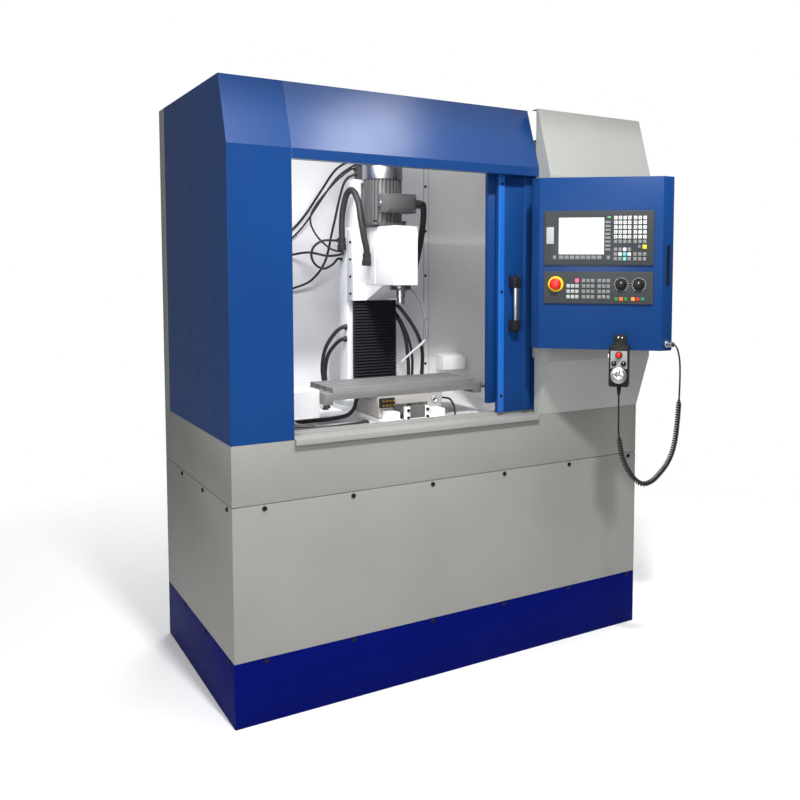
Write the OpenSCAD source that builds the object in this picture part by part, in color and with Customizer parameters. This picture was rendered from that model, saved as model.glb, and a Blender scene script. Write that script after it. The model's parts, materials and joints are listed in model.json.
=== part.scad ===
// Small enclosed vertical milling machine with a sliding front door, a swinging control box
// and a hand-held pendant. Millimetres, +Z up, origin on the floor under the middle of the plinth,
// front of the machine towards -Y.

/* [Enclosure] */
// Width over the side covers
machine_w = 1740; // [1700:5:1800]
// Depth from the front face to the rear cover
machine_d = 940; // [930:2:1000]
// Height of the base plinth
plinth_h = 224; // [180:2:280]
// Height of the bolted panels above the plinth
lower_h = 526; // [480:2:580]
// Height of the skirt round the chip tray
skirt_h = 204; // [180:2:240]
// Clear height of the door opening
opening_h = 942; // [930:1:960]
// Height of the upright lip under the header slope
lip_h = 34; // [28:1:45]
// Height of the sloping header face
slope_h = 232; // [215:1:250]
// How far the header leans back at its top
slope_back = 83; // [70:1:90]
// Width of the left front post
post_w = 214; // [195:1:225]
// Width of the cabinet front on the right
cabinet_w = 523; // [515:1:540]
// How far the cabinet front stands out
cabinet_proud = 76; // [65:1:85]
// Height of the cabinet's sloping chin
chin_h = 218; // [190:1:240]
// Height of the cabinet's sloping brow
brow_h = 265; // [245:1:285]
// Thickness of the folded sheet
sheet = 3; // [2:0.5:4]

/* [Door] */
// Width of each door leaf
leaf_w = 640; // [620:1:650]
// Thickness of each door leaf
leaf_t = 22; // [18:1:24]
// Front leaf behind the front face of the enclosure
door_in = 48; // [46:1:52]
// Space between the two leaves
leaf_space = 14; // [10:1:16]
// Width of the open front leaf that shows beside the cabinet
open_show = 157; // [152:1:162]
// Width of the leaf's stiles beside the window
stile_w = 165; // [120:5:190]
// Length of the door handle
handle_l = 222; // [180:2:260]

/* [Milling machine] */
// Middle of the machine, from the middle of the enclosure
machine_x = -115; // [-125:1:-105]
// Spindle axis behind the front face
spindle_in = 287; // [280:1:295]
// Length of the work table
table_l = 611; // [600:1:640]
// Width of the work table
table_w = 230; // [220:1:236]
// Thickness of the work table
table_t = 45; // [42:1:50]
// Table top above the skirt
table_rise = 137; // [132:1:145]
// Mouth of the table's T-slots
slot_w = 14; // [10:1:16]
// Head cover above the table at the top of the travel
head_rise = 378; // [370:1:390]
// Height of the head cover
head_h = 230; // [220:1:240]
// Width of the head cover
head_w = 104; // [98:1:120]
// Diameter of the spindle motor over its cowl
motor_d = 162; // [150:1:170]
// Bore of the collet
collet_d = 12; // [8:1:14]

/* [Control box] */
// Width of the box over its sides
box_w = 528; // [510:1:540]
// Height of the box
box_h = 638; // [610:1:660]
// Depth of the box
box_d = 90; // [80:1:95]
// Width of the bevels beside the front face
bevel = 35; // [25:1:40]
// Angle that the box stands turned towards the door
box_turn = 45; // [40:1:47]
// Width of the two operator panels
panel_w = 405; // [395:1:420]
// Height of the display panel
display_h = 200; // [190:1:206]
// Height of the machine panel
keys_h = 119; // [114:1:124]

/* [Pendant] */
// Width of the hand-held pendant
pendant_w = 73; // [68:1:80]
// Length of the hand-held pendant
pendant_l = 152; // [145:1:165]
// Depth of the hand-held pendant
pendant_d = 44; // [38:1:50]
// Diameter of the pendant's hand wheel
dial_d = 59; // [50:1:64]

/* [Hidden] */
$fn = 48;

// Running gap between flat slides, and radial clearance of a shaft in its bore
slide_gap = 0.3;
bore_gap = 0.1;
past = 1;

// Heights and edges of the enclosure
x_left = -machine_w / 2;
x_right = machine_w / 2;
y_front = -machine_d / 2;
y_back = machine_d / 2;
z_plinth = plinth_h;
z_seam = z_plinth + lower_h;
z_band = z_seam + skirt_h;
z_open = z_band + opening_h;
z_bend = z_open + lip_h;
z_top = z_bend + slope_h;
x_post = x_left + post_w;
x_cab = x_right - cabinet_w;
rear_strip = 85;
y_cover = y_back - rear_strip;
liner_in = 60;
y_liner = y_back - liner_in;
plate = 5;
plinth_flange = 60;
panel_lap = 20;
panel_reveal = 2;
skirt_flange = 70;
top_flange = 40;
foot_flange = 30;
jamb_d = 40;
cheek_in = 22;
brow_in = 11;
z_cab = z_top - 2;
z_brow = z_cab - brow_h;
pan_drop = 14;
z_pan = z_band - pan_drop;
pan_t = 3;

// Bolts along the panels
bolt_r = 8;
bolt_h = 5;
bolt_pitch = 318;
bolt_start = 108;
side_pitch = 305;
side_start = 53;
seam_drop = 15;
plinth_drop = 10;

// Stand inside the lower panels
tube = 50;
bed_beam = 50;
bed_beam_x = 90;

// Door, rail and sill
leaf_x = x_cab - open_show;
leaf_step = 25;
rear_leaf_x = leaf_x - leaf_step;
y_leaf = y_front + door_in;
y_leaf_2 = y_leaf + leaf_t + leaf_space;
leaf_rise = 15;
z_leaf = z_band + leaf_rise;
rear_leaf_rise = 50;
z_leaf_2 = z_band + rear_leaf_rise;
z_leaf_top = z_bend;
leaf_rail_h = 170;
leaf_skin = 2;
leaf_edge = 20;
pane_t = 5;
pane_lap = 12;
shoe_h = 18;
shoe_t = 10;
shoe_l = 60;
shoe_in = 60;
rail_t = 4;
rail_h = 40;
rail_lift = 8;
z_rail = z_leaf_top + rail_lift;
y_rail = y_leaf - rail_t;
y_rail_end = y_leaf_2 + leaf_t + rail_t;
sill_t = 3;
sill_proud = 18;
sill_front_h = 17;
sill_rib_w = 6;
handle_w = 34;
handle_out = 44;
handle_t = 14;
handle_in = 47;
handle_rise = 333;
handle_z = z_band + handle_rise;

// Machine datum values
spindle_y = y_front + spindle_in;
table_in = 315;
table_y = y_front + table_in;
z_table = z_band + table_rise;
z_saddle = z_table - table_t;
way_rise = 36;
z_way = z_band + way_rise;
z_bed = z_seam + bed_beam;
table_shift = -15;
table_x0 = machine_x + table_shift - table_l / 2;
table_x1 = table_x0 + table_l;
table_y0 = table_y - table_w / 2;
table_y1 = table_y + table_w / 2;
bed_w = 260;
bed_in = 140;
bed_y0 = y_front + bed_in;
bed_l = 605;
bed_y1 = bed_y0 + bed_l;
foot_w = 300;
foot_h = 30;
way_in = 75;
way_out = 120;
way_h = 30;
trough_w = 120;
trough_d = 85;
end_plate = 22;
end_w = 100;
end_h = 18;
pocket_w = 64;
pocket_h = 50;
pocket_d = 11;
pocket_drop = 28;
pocket_z = z_way - pocket_drop;

// Screws and their nuts
screw_r = 10;
x_screw_r = 8;
z_screw_r = 12.5;
y_screw_drop = 40;
y_screw_z = z_way - y_screw_drop;
x_screw_rise = 4;
x_screw_z = z_saddle + x_screw_rise;
z_screw_in = 582;
z_screw_y = y_front + z_screw_in;
x_slot_w = 40;
x_slot_drop = 20;
x_slot_z = z_saddle - x_slot_drop;
guide_h = 18;
guide_w = 100;
guide_flare = 12;
saddle_w = 280;
saddle_edge = 24;
saddle_root = 10;
lip_w = 15;
lip_drop = 25;
nut_w = 56;
nut_l = 60;
end_bracket = 32;
end_bracket_h = 61;

// Column and head
column_half = 105;
neck_half = 75;
column_taper = 40;
way_face_in = 540;
y_way_face = y_front + way_face_in;
column_in = 560;
y_column = y_front + column_in;
column_flat = 80;
column_h = 910;
z_column = z_way + column_h;
z_way_in = 60;
z_way_out = 93;
column_foot_h = 30;
column_foot_half = 130;
screw_bay_w = 80;
screw_bay_d = 60;
screw_floor = 25;
column_cap = 15;
bellows_in = 508;
bellows_front = y_front + bellows_in;
bellows_seat_h = 15;
bellows_rise = 40;
z_bellows = z_way + bellows_rise;
z_head = z_table + head_rise;
slide_drop = 67;
slide_up = -4;
z_slide = z_head - slide_drop;
z_neck = z_head + head_h;
slide_in = 498;
slide_front = y_front + slide_in;
slide_lip = 15;
cover_t = 2;
casting_half = head_w / 2 - cover_t;
cover_in = 238;
cover_front = y_front + cover_in;
casting_front = cover_front + cover_t;
cover_l = 212;
cover_top_back = cover_front + cover_l;
belt_room_side = 6;
belt_room_half = casting_half - belt_room_side;
belt_room_wall = 4;
belt_room_h = 65;
belt_roof = 9;
z_belt_room = z_head + head_h - belt_roof - belt_room_h;
motor_in = 445;
motor_y = y_front + motor_in;
motor_hole_r = 40;
cartridge_r = 32;
nose_r = 42;
nose_h = 20;
spindle_r = 18;
spindle_nose_r = 20;
spindle_nose_h = 29;
holder_r = 16;
holder_h = 27;
collet_deep = 25;
spindle_pulley_r = 36;
motor_pulley_r = 30;
pulley_h = 40;
belt_t = 4;
belt_h = 30;
belt_lift = 12;
motor_plate_h = 8;
motor_flange_h = 10;
motor_flange_w = 150;
fin_h = 173;
cowl_h = 110;
core_r = 66;
fin_count = 30;
fin_t = 4;
z_motor_foot = z_head + head_h;
z_fins = z_motor_foot + motor_plate_h + motor_flange_h;
z_cowl = z_fins + fin_h;
terminal_w = 138;
terminal_h = 75;
terminal_d = 29;
terminal_side = 27;
terminal_x = machine_x + terminal_side;
terminal_rise = 38;
terminal_z = z_fins + terminal_rise;
terminal_y = motor_y - motor_d / 2;

// Axis motors
y_motor_w = 76;
y_motor_l = 118;
z_motor_w = 90;
z_motor_h = 140;

// Box on the inner wall
wall_box_x = 430;
wall_box_w = 120;
wall_box_d = 80;
wall_box_low = 60;
wall_box_high = 76;
wall_box_rise = 98;
wall_box_z = z_band + wall_box_rise;
liner_joint_x = 318;
liner_lap = 12;

// Cover of the table drive
drive_cover_l = 132;
drive_cover_w = 130;
drive_cover_h = 106;
drive_cover_y = table_y - drive_cover_w / 2;
drive_cover_drop = 115;
drive_cover_z = z_table - drive_cover_drop;

// Control box: its own frame has its origin on the swivel axis, front towards -Y
pivot_x = 518;
pivot_out = 195;
pivot_y = y_front - pivot_out;
box_rise = 282;
box_z = z_band + box_rise;
back_gap = 56;
y_face = -(back_gap + box_d);
face_w = box_w - 2 * bevel;
case_t = 3;
entry_r = 15;
pin_r = 12;
barrel_r = 22;
barrel_h = 200;
barrel_z = box_z + box_h / 2 - barrel_h / 2;
lug_t = 15;
lug_r = 30;
bracket_w = 120;
bracket_t = 10;
bracket_over = 40;

// Panels on the box
panel_t = 8;
panel_r = 4;
panel_in = 20;
panel_x = -face_w / 2 + panel_in;
display_drop = 124;
display_top = box_h - display_drop;
machine_drop = 348;
machine_top = box_h - machine_drop;
screen_x = 55;
screen_w = 168;
screen_h = 135;
screen_drop = 25;
screen_d = 3;
key_h = 2.5;
key_r = 1.5;
estop_x = 46;
estop_drop = 47;
estop_base_r = 29;
estop_base_h = 6;
estop_r = 21;
estop_stem_r = 9;
estop_travel = 4;
estop_head_h = 16;
estop_deep = 5;
knob_r = 15.5;
knob_h = 18;
knob_drop = 47;
feed_x = 289;
speed_x = 353;

// Blocks of like keys: left edge and drop on the panel, columns, rows, two pitches, key width and height
display_keys = [
    [9, 60, 1, 1, 0, 0, 28, 62],
    [34, 165, 1, 1, 0, 0, 12, 14],
    [56, 165, 8, 1, 20.3, 0, 17, 14],
    [234.5, 165, 1, 1, 0, 0, 11, 14],
    [227, 38, 1, 8, 0, 14.3, 20, 9],
    [259.6, 20, 4, 6, 16.8, 17.4, 12.4, 12.8],
    [331, 20, 3, 6, 17.3, 17.4, 12.4, 12.8],
    [347, 126, 1, 1, 0, 0, 10, 12],
    [364, 125, 1, 1, 0, 0, 15, 15],
    [259.6, 135.5, 4, 3, 16.8, 17.2, 12.4, 12.8],
    [331, 152.7, 3, 2, 17.3, 17.2, 12.4, 12.8]
];
machine_keys = [
    [118.5, 27, 1, 1, 0, 0, 13, 13],
    [86, 47, 3, 3, 16.2, 20, 13, 13],
    [143, 27, 3, 4, 16.8, 20, 13, 13],
    [201.3, 27, 3, 4, 16.6, 20, 13, 13],
    [264.2, 93.5, 3, 1, 17.6, 0, 13, 13],
    [325.6, 93.5, 3, 1, 17.6, 0, 13, 13]
];

// Pendant on its hook, in the control box frame
pendant_x = 78.5;
pendant_top = 22;
hook_w = 50;
hook_t = 4;
hook_low = 6;
hook_high = 58;
shelf_out = 14;
shelf_h = 4;
hook_lip_h = 12;
y_pendant = y_face - shelf_out - slide_gap;
pendant_r = 8;
tab_t = 4;
dial_drop = 110;
dial_h = 16;
selector_drop = 66;
selector_space = 35;
selector_r = 10;
selector_h = 12;
stop_drop = 35;
stop_r = 10;
stop_h = 10;
stop_travel = 3;
stop_collar_h = 3;
enable_drop = 46;
enable_l = 26;
enable_w = 12;
enable_out = 5;
enable_deep = 6;
relief_l = 34;
relief_r = 9;
relief_tip = 5;
connector_z = 25;
connector_r = 10;
connector_l = 34;
connector_nut_r = 13;
connector_nut_h = 6;

// Cord of the pendant: places along it, thin at the ends and as thick as its coil between
cord_r = 3.25;
coil_r = 9.5;
cord_out = -shelf_out - slide_gap - pendant_d / 2;
cord_start_z = pendant_top - pendant_l - relief_l;
cord_points = [
    [79, -36, -230], [80, -36, -300], [86, -36, -350], [96, -36, -395], [116, -36, -440],
    [143, -36, -475], [171, -35, -490], [203, -34, -478], [231, -33, -448], [256, -32, -412],
    [274, -31, -370], [285, -30, -320], [291, -29, -260], [295, -28, -200], [297, -27, -150],
    [298, -26, -100], [297, -25, -45], [293, -23, -12], [287, -20, 10], [280, -15, 22], [272, -8, 25]
];
cord_route = concat([[pendant_x, y_face + cord_out, cord_start_z]],
    [for (p = cord_points) [p[0], y_face + p[1], p[2]]]);
coil_first = 3;
coil_last = 14;
cord_radius = [for (i = [0:len(cord_route) - 1]) i < coil_first || i > coil_last ? cord_r : coil_r];

// Conduits between the column and the head
conduit_r = 13;
fitting_r = 18;
left_conduit = [
    [-238.3, 105, 1608], [-238.3, 105, 1660], [-238, 98, 1755], [-232, 68, 1832],
    [-222, 30, 1848], [-213, -5, 1800], [-210, -24, 1730], [-200, -28, 1665],
    [-186, -24, 1605], [-185.3, -18, 1545]
];
left_conduit_r = [
    fitting_r, fitting_r, conduit_r, conduit_r, conduit_r, conduit_r, conduit_r,
    conduit_r, fitting_r, fitting_r
];
motor_conduit = [
    [-18.7, -118, 1793], [6, -118, 1793], [24, -108, 1789], [44, -80, 1762], [57, -45, 1700],
    [64, -10, 1635], [68, 30, 1565], [66, 75, 1495], [54, 108, 1450], [28, 124, 1430],
    [8, 126, 1426], [-9.7, 126, 1426]
];
motor_conduit_r = [
    fitting_r, fitting_r, conduit_r, conduit_r, conduit_r, conduit_r, conduit_r,
    conduit_r, conduit_r, conduit_r, conduit_r, conduit_r
];

// Cables that stay with the enclosure
cable_r = 5;
lead_r = 8;
upper_cable = [
    [-160.3, 112, 1985], [-176, 112, 1985], [-213, 220, 1950], [-245, 310, 1865],
    [-290, 370, 1770], [-344, 395, 1700], [-405, 397, 1660], [-420, 394, 1655], [-420, 409.7, 1655]
];
fitting_cable = [
    [-238.3, 105, 1607.7], [-238.3, 105, 1592], [-262, 200, 1585], [-300, 310, 1600],
    [-345, 372, 1592], [-385, 390, 1580], [-385, 409.7, 1580]
];
lower_cable = [
    [-160.3, 128, 1920], [-177, 128, 1920], [-205, 165, 1880], [-226, 230, 1700], [-235, 300, 1560],
    [-275, 360, 1480], [-343, 385, 1447], [-380, 391, 1440], [-380, 409.7, 1440]
];
left_lead = [
    [-220.3, 104, 1290], [-238, 104, 1290], [-268, 120, 1262], [-300, 140, 1200], [-310, 150, 1120],
    [-302, 150, 1040], [-298, 150, 965], [-298, 150, 943.3]
];
left_lead_2 = [
    [-220.3, 108, 1240], [-236, 108, 1240], [-256, 130, 1220], [-278, 165, 1170], [-286, 180, 1100],
    [-280, 182, 1030], [-276, 182, 965], [-276, 182, 943.3]
];
right_lead = [
    [-9.7, 112, 1380], [8, 112, 1380], [40, 104, 1350], [96, 88, 1262],
    [126, 90, 1180], [132, 102, 1090], [128, 116, 1010], [126, 124, 965], [126, 124, 943.3]
];
right_lead_2 = [
    [-9.7, 118, 1330], [8, 118, 1330], [34, 116, 1300], [62, 118, 1220], [76, 124, 1120],
    [80, 130, 1030], [80, 132, 965], [80, 132, 943.3]
];
hose = [
    [-9.7, 104, 1490], [8, 104, 1490], [24, 92, 1484], [48, 56, 1452], [84, 28, 1399], [89, 0, 1336],
    [84, -30, 1262], [60, -44, 1226], [-6, -70, 1189], [-71, -100, 1153]
];
hose_radius = [6, 6, 6, 5, 5, 5, 5, 6, 4, 3];
drive_lead = [
    [-534, -150, 975.7], [-534, -150, 966], [-516, -146, 956], [-460, -140, 954],
    [-380, -134, 954], [-320, -131, 962], [-292, -130, 985], [-282, -130, 1016],
    [-271, -130, 1032], [-255.3, -130, 1032]
];

// Sheet metal: a folded strip follows a path, with its thickness on the left of the path
function unit(v) = v / norm(v);
function normal_of(a, b) = let (d = unit(b - a)) [-d[1], d[0]];
function mitre(n, m, t) = 2 * t * (n + m) / ((n + m) * (n + m));
function inner_point(p, i, t) =
    i == 0 ? p[0] + t * normal_of(p[0], p[1])
    : i == len(p) - 1 ? p[i] + t * normal_of(p[i - 1], p[i])
    : p[i] + mitre(normal_of(p[i - 1], p[i]), normal_of(p[i], p[i + 1]), t);
function folded(p, t) = concat(p, [for (i = [len(p) - 1:-1:0]) inner_point(p, i, t)]);

// Tubes: a smooth line through the route's points, with a ring of points at each place
function spline(a, b, c, d, t) =
    0.5 * (2 * b + (c - a) * t + (2 * a - 5 * b + 4 * c - d) * t * t
    + (3 * b - a - 3 * c + d) * t * t * t);
function at_end(p, i) = p[max(0, min(len(p) - 1, i))];
function smooth(p, n) = concat(
    [for (i = [0:len(p) - 2]) for (k = [0:n - 1])
        spline(at_end(p, i - 1), p[i], p[i + 1], at_end(p, i + 2), k / n)],
    [p[len(p) - 1]]);
function stepped(r, n) = concat([for (i = [0:len(r) - 2]) for (k = [0:n - 1])
    r[i] == r[i + 1] ? r[i] : r[i] + (r[i + 1] - r[i]) * k / n], [r[len(r) - 1]]);
function heading(p, i) = unit(at_end(p, i + 1) - at_end(p, i - 1));
function ring(place, t, r, sides, hint) =
    let (s = unit(cross(t, hint)), u = cross(s, t))
    [for (k = [0:sides - 1]) place + r * (cos(360 * k / sides) * s + sin(360 * k / sides) * u)];
function same(value, count) = [for (i = [1:count]) value];

// Swept tube through route points, with a radius for each point
module tube_along(route, radius, steps, sides, hint) {
    line = smooth(route, steps);
    widths = stepped(radius, steps);
    last = len(line) - 1;
    end = len(route) - 1;
    ways = [for (i = [0:last]) i == 0 ? unit(route[1] - route[0])
        : i == last ? unit(route[end] - route[end - 1]) : heading(line, i)];
    points = [for (i = [0:last]) each ring(line[i], ways[i], widths[i], sides, hint)];
    walls = [for (i = [0:last - 1]) for (k = [0:sides - 1])
        let (a = i * sides + k, b = i * sides + (k + 1) % sides)
        each [[a, a + sides, b], [b, a + sides, b + sides]]];
    first_cap = [for (k = [0:sides - 1]) k];
    last_cap = [for (k = [sides - 1:-1:0]) last * sides + k];
    polyhedron(points, concat([first_cap], walls, [last_cap]));
}

// Box between two corners
module block(low, high) {
    translate(low) cube(high - low);
}

// Outlines in (Y, Z) drawn along X, and outlines in (X, Z) drawn along Y
module along_x(x0, x1) {
    translate([x0, 0, 0]) rotate([90, 0, 90]) linear_extrude(x1 - x0) children();
}
module along_y(y0, y1) {
    translate([0, y1, 0]) rotate([90, 0, 0]) linear_extrude(y1 - y0) children();
}
module upright(z0, z1) {
    translate([0, 0, z0]) linear_extrude(z1 - z0) children();
}

// Rectangle with round corners, from its lower left corner
module rounded(w, h, r) {
    translate([r, 0]) square([w - 2 * r, h]);
    translate([0, r]) square([w, h - 2 * r]);
    for (x = [r, w - r], y = [r, h - r]) translate([x, y]) circle(r);
}

// Places in the control box frame
module at_box() {
    translate([pivot_x, pivot_y, box_z]) rotate([0, 0, -box_turn]) children();
}
// Thing that stands out of the box's front, drawn from its seat towards +Z
module on_front(x, y, z) {
    translate([x, y, z]) rotate([90, 0, 0]) children();
}

// Base plinth: welded plate box, open at the top inside its flange
module base_plinth() {
    color("midnightblue") difference() {
        block([x_left, y_front, 0], [x_right, y_back, z_plinth]);
        block([x_left + plate, y_front + plate, plate],
            [x_right - plate, y_back - plate, z_plinth - plate]);
        block([x_left + plinth_flange, y_front + plinth_flange, z_plinth / 2],
            [x_right - plinth_flange, y_back - plinth_flange, z_plinth + past]);
    }
}

// One bolted panel with folded top and bottom edges, from its lower left front corner
module lower_panel(w) {
    h = lower_h - panel_reveal;
    edge = panel_lap + sheet;
    block([0, 0, 0], [w, sheet, h]);
    for (z = [0, h - sheet]) block([edge, 0, z], [w - edge, panel_lap, z + sheet]);
}
module lower_panels() {
    side_w = machine_d - 2 * sheet;
    color("silver") {
        translate([x_left, y_front, z_plinth]) lower_panel(machine_w);
        translate([x_right, y_back, z_plinth]) rotate(180) lower_panel(machine_w);
        translate([x_left, y_back - sheet, z_plinth]) rotate(-90) lower_panel(side_w);
        translate([x_right, y_front + sheet, z_plinth]) rotate(90) lower_panel(side_w);
    }
}

// Stand: square tube frame that carries the tray and the machine bed
module stand_frame() {
    x0 = x_left + panel_lap + sheet + plate;
    x1 = x_right - panel_lap - sheet - plate;
    y0 = y_front + panel_lap + sheet + plate;
    y1 = y_back - panel_lap - sheet - plate;
    color("dimgray") {
        for (x = [x0, x1 - tube], y = [y0, y1 - tube]) block([x, y, z_plinth], [x + tube, y + tube, z_seam]);
        for (y = [y0, y1 - tube]) block([x0, y, z_seam - tube], [x1, y + tube, z_seam]);
        for (x = [x0, x1 - tube]) block([x, y0, z_seam - tube], [x + tube, y1, z_seam]);
        for (x = [machine_x - bed_beam_x - tube, machine_x + bed_beam_x]) {
            block([x, y0, z_seam - tube], [x + tube, y1, z_seam]);
            block([x, bed_y0, z_seam], [x + tube, bed_y1, z_bed]);
            for (y = [bed_y0, bed_y1 - tube]) block([x, y, plate], [x + tube, y + tube, z_seam]);
        }
    }
}

// Domed bolt heads along the panels, drawn from the face outwards
module bolt_head() {
    rotate_extrude() polygon([
        [0, 0], [bolt_r, 0], [bolt_r, bolt_h * 0.4], [bolt_r * 0.72, bolt_h], [0, bolt_h]
    ]);
}
module bolt_row(count, start, pitch) {
    for (i = [0:count - 1], z = [z_seam - seam_drop, z_plinth - plinth_drop])
        translate([start + i * pitch, 0, z]) rotate([90, 0, 0]) bolt_head();
}
module panel_bolts() {
    front_count = floor((machine_w - bolt_start - bolt_r) / bolt_pitch) + 1;
    side_count = floor((machine_d - side_start - bolt_r) / side_pitch) + 1;
    color("black") {
        translate([x_left, y_front, 0]) bolt_row(front_count, bolt_start, bolt_pitch);
        translate([x_right, y_back, 0]) rotate(180) bolt_row(front_count, bolt_start, bolt_pitch);
        translate([x_left, y_front, 0]) rotate(-90) mirror([1, 0, 0])
            bolt_row(side_count, side_start, side_pitch);
        translate([x_right, y_front, 0]) rotate(90) bolt_row(side_count, side_start, side_pitch);
    }
}

// Skirt round the chip tray, folded in at its top and bottom
module tray_skirt() {
    color("silver") difference() {
        block([x_left, y_front, z_seam], [x_right, y_back, z_band]);
        block([x_left + sheet, y_front + sheet, z_seam + sheet],
            [x_right - sheet, y_back - sheet, z_band - sheet]);
        block([x_left + skirt_flange, y_front + skirt_flange, z_seam - past],
            [x_right - skirt_flange, y_back - skirt_flange, z_band + past]);
    }
}

// Chip tray: shallow pan hung under the skirt's flange, with a hole for the bed
module chip_tray() {
    edge = sheet + past;
    hole = bed_w / 2 + past;
    color("white") difference() {
        block([x_left + edge, y_front + edge, z_pan], [x_right - edge, y_back - edge, z_band - sheet]);
        block([x_left + edge + pan_t, y_front + edge + pan_t, z_pan + pan_t],
            [x_right - edge - pan_t, y_back - edge - pan_t, z_band]);
        block([machine_x - hole, bed_y0 - past, z_pan - past],
            [machine_x + hole, bed_y1 + past, z_band]);
    }
}

// Door sill: front strip and the guide ribs that the leaves run on
module door_sill() {
    y_end = y_rail_end + rail_t;
    rib_1 = y_leaf + leaf_t / 2;
    rib_2 = y_leaf_2 + leaf_t / 2;
    color("gray") {
        block([x_post, y_front - sill_proud, z_band - sill_front_h], [x_cab, y_front, z_band]);
        block([x_post, y_front - sill_proud, z_band], [x_cab, y_end, z_band + sill_t]);
        block([x_cab, y_front + cheek_in + past, z_band], [x_right - foot_flange, y_end, z_band + sill_t]);
        block([x_post, rib_1 - sill_rib_w / 2, z_band],
            [x_right - foot_flange, rib_1 + sill_rib_w / 2, z_leaf - slide_gap]);
        block([x_post, rib_2 - sill_rib_w / 2, z_band],
            [x_right - foot_flange, rib_2 + sill_rib_w / 2, z_leaf - slide_gap]);
    }
}

// Left cover: side wall, front post and sloping corner, folded and welded as one
module left_cover() {
    front = [
        [y_front, z_band], [y_front, z_bend], [y_front + slope_back, z_top],
        [y_front + slope_back + top_flange, z_top]
    ];
    side = [
        [y_front, z_band], [y_front, z_bend], [y_front + slope_back, z_top],
        [y_cover, z_top], [y_cover, z_band]
    ];
    jamb = [
        [y_front, z_band], [y_front, z_bend], [y_front + slope_back, z_top],
        [y_front + slope_back + jamb_d, z_top], [y_front + jamb_d, z_bend], [y_front + jamb_d, z_band]
    ];
    color("royalblue") {
        along_x(x_left, x_post) polygon(folded(front, -sheet));
        along_x(x_left, x_left + sheet) polygon(side);
        along_x(x_post - sheet, x_post) difference() {
            polygon(jamb);
            translate([y_rail - past, z_rail - past])
                square([slope_back + jamb_d, rail_h + 2 * past]);
        }
        block([x_left, y_front + slope_back, z_top - sheet], [x_left + top_flange, y_cover, z_top]);
        block([x_left, y_front + sheet, z_band], [x_left + foot_flange, y_cover, z_band + sheet]);
    }
}

// Header over the door opening, folded from one strip
module header_cover() {
    path = [
        [y_front + jamb_d, z_open], [y_front, z_open], [y_front, z_bend],
        [y_front + slope_back, z_top], [y_front + slope_back + top_flange, z_top]
    ];
    color("royalblue") along_x(x_post, x_cab) polygon(folded(path, -sheet));
}

// Upper door rail: two channels side by side, from wall to wall
module door_rail() {
    middle = y_leaf + leaf_t + leaf_space / 2;
    color("gray") along_x(x_left + sheet, x_right - sheet) {
        translate([y_rail, z_rail + rail_h - rail_t]) square([y_rail_end - y_rail, rail_t]);
        for (y = [y_rail, middle - rail_t / 2, y_rail_end - rail_t])
            translate([y, z_rail]) square([rail_t, rail_h]);
    }
}

// Cabinet front: bulged shell beside the opening that the open door slides behind
module cabinet_front() {
    face = y_front - cabinet_proud;
    path = [
        [y_front, z_band], [face, z_band + chin_h], [face, z_brow],
        [y_front + brow_in, z_cab], [y_front + brow_in + top_flange, z_cab]
    ];
    cheek = [
        [y_front, z_band], [face, z_band + chin_h], [face, z_brow], [y_front + brow_in, z_cab],
        [y_front + cheek_in, z_cab], [y_front + cheek_in, z_band]
    ];
    color("gainsboro") {
        along_x(x_cab, x_right - sheet) polygon(folded(path, -sheet));
        for (x = [x_cab, x_right - sheet]) along_x(x, x + sheet) polygon(cheek);
    }
}

// Right cover: flat side wall with folded edges
module right_cover() {
    y0 = y_front + cheek_in;
    color("gainsboro") {
        block([x_right - sheet, y0, z_band], [x_right, y_cover, z_top]);
        block([x_right - top_flange, y_front + slope_back + top_flange, z_top - sheet],
            [x_right, y_cover, z_top]);
        block([x_right - foot_flange, y0, z_band], [x_right, y_cover, z_band + sheet]);
    }
}

// Rear cover: wide folded channel across the back, with louvre slots for the air
module rear_cover() {
    path = [[x_left, y_cover], [x_left, y_back], [x_right, y_back], [x_right, y_cover]];
    slot_w = 140;
    slot_h = 10;
    slot_pitch = 24;
    color("silver") difference() {
        union() {
            upright(z_band, z_top) polygon(folded(path, -sheet));
            block([x_left, y_back - top_flange, z_top - sheet], [x_right, y_back, z_top]);
            block([x_left, y_back - foot_flange, z_band], [x_right, y_back, z_band + sheet]);
        }
        for (x = [x_left / 2, x_right / 2], i = [0:7])
            block([x - slot_w / 2, y_back - sheet - past, z_bend - 60 - i * slot_pitch],
                [x + slot_w / 2, y_back + past, z_bend - 60 - i * slot_pitch + slot_h]);
    }
}

// Inner wall behind the machine: two sheets, the left one lapped over the joint
module back_liner() {
    top = z_top - sheet;
    color("white") {
        block([x_left + sheet, y_liner, z_band], [liner_joint_x, y_liner + sheet, top]);
        block([liner_joint_x - liner_lap, y_liner - sheet, z_band],
            [liner_joint_x + liner_lap, y_liner, top]);
        block([liner_joint_x, y_liner, z_band], [x_right - sheet, y_liner + sheet, top]);
    }
}

// Box with a sloping lid on the inner wall
module wall_box() {
    y0 = y_liner - wall_box_d;
    color("white") along_x(wall_box_x - wall_box_w / 2, wall_box_x + wall_box_w / 2) polygon([
        [y0, wall_box_z], [y0, wall_box_z + wall_box_low],
        [y_liner, wall_box_z + wall_box_high], [y_liner, wall_box_z]
    ]);
}

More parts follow.
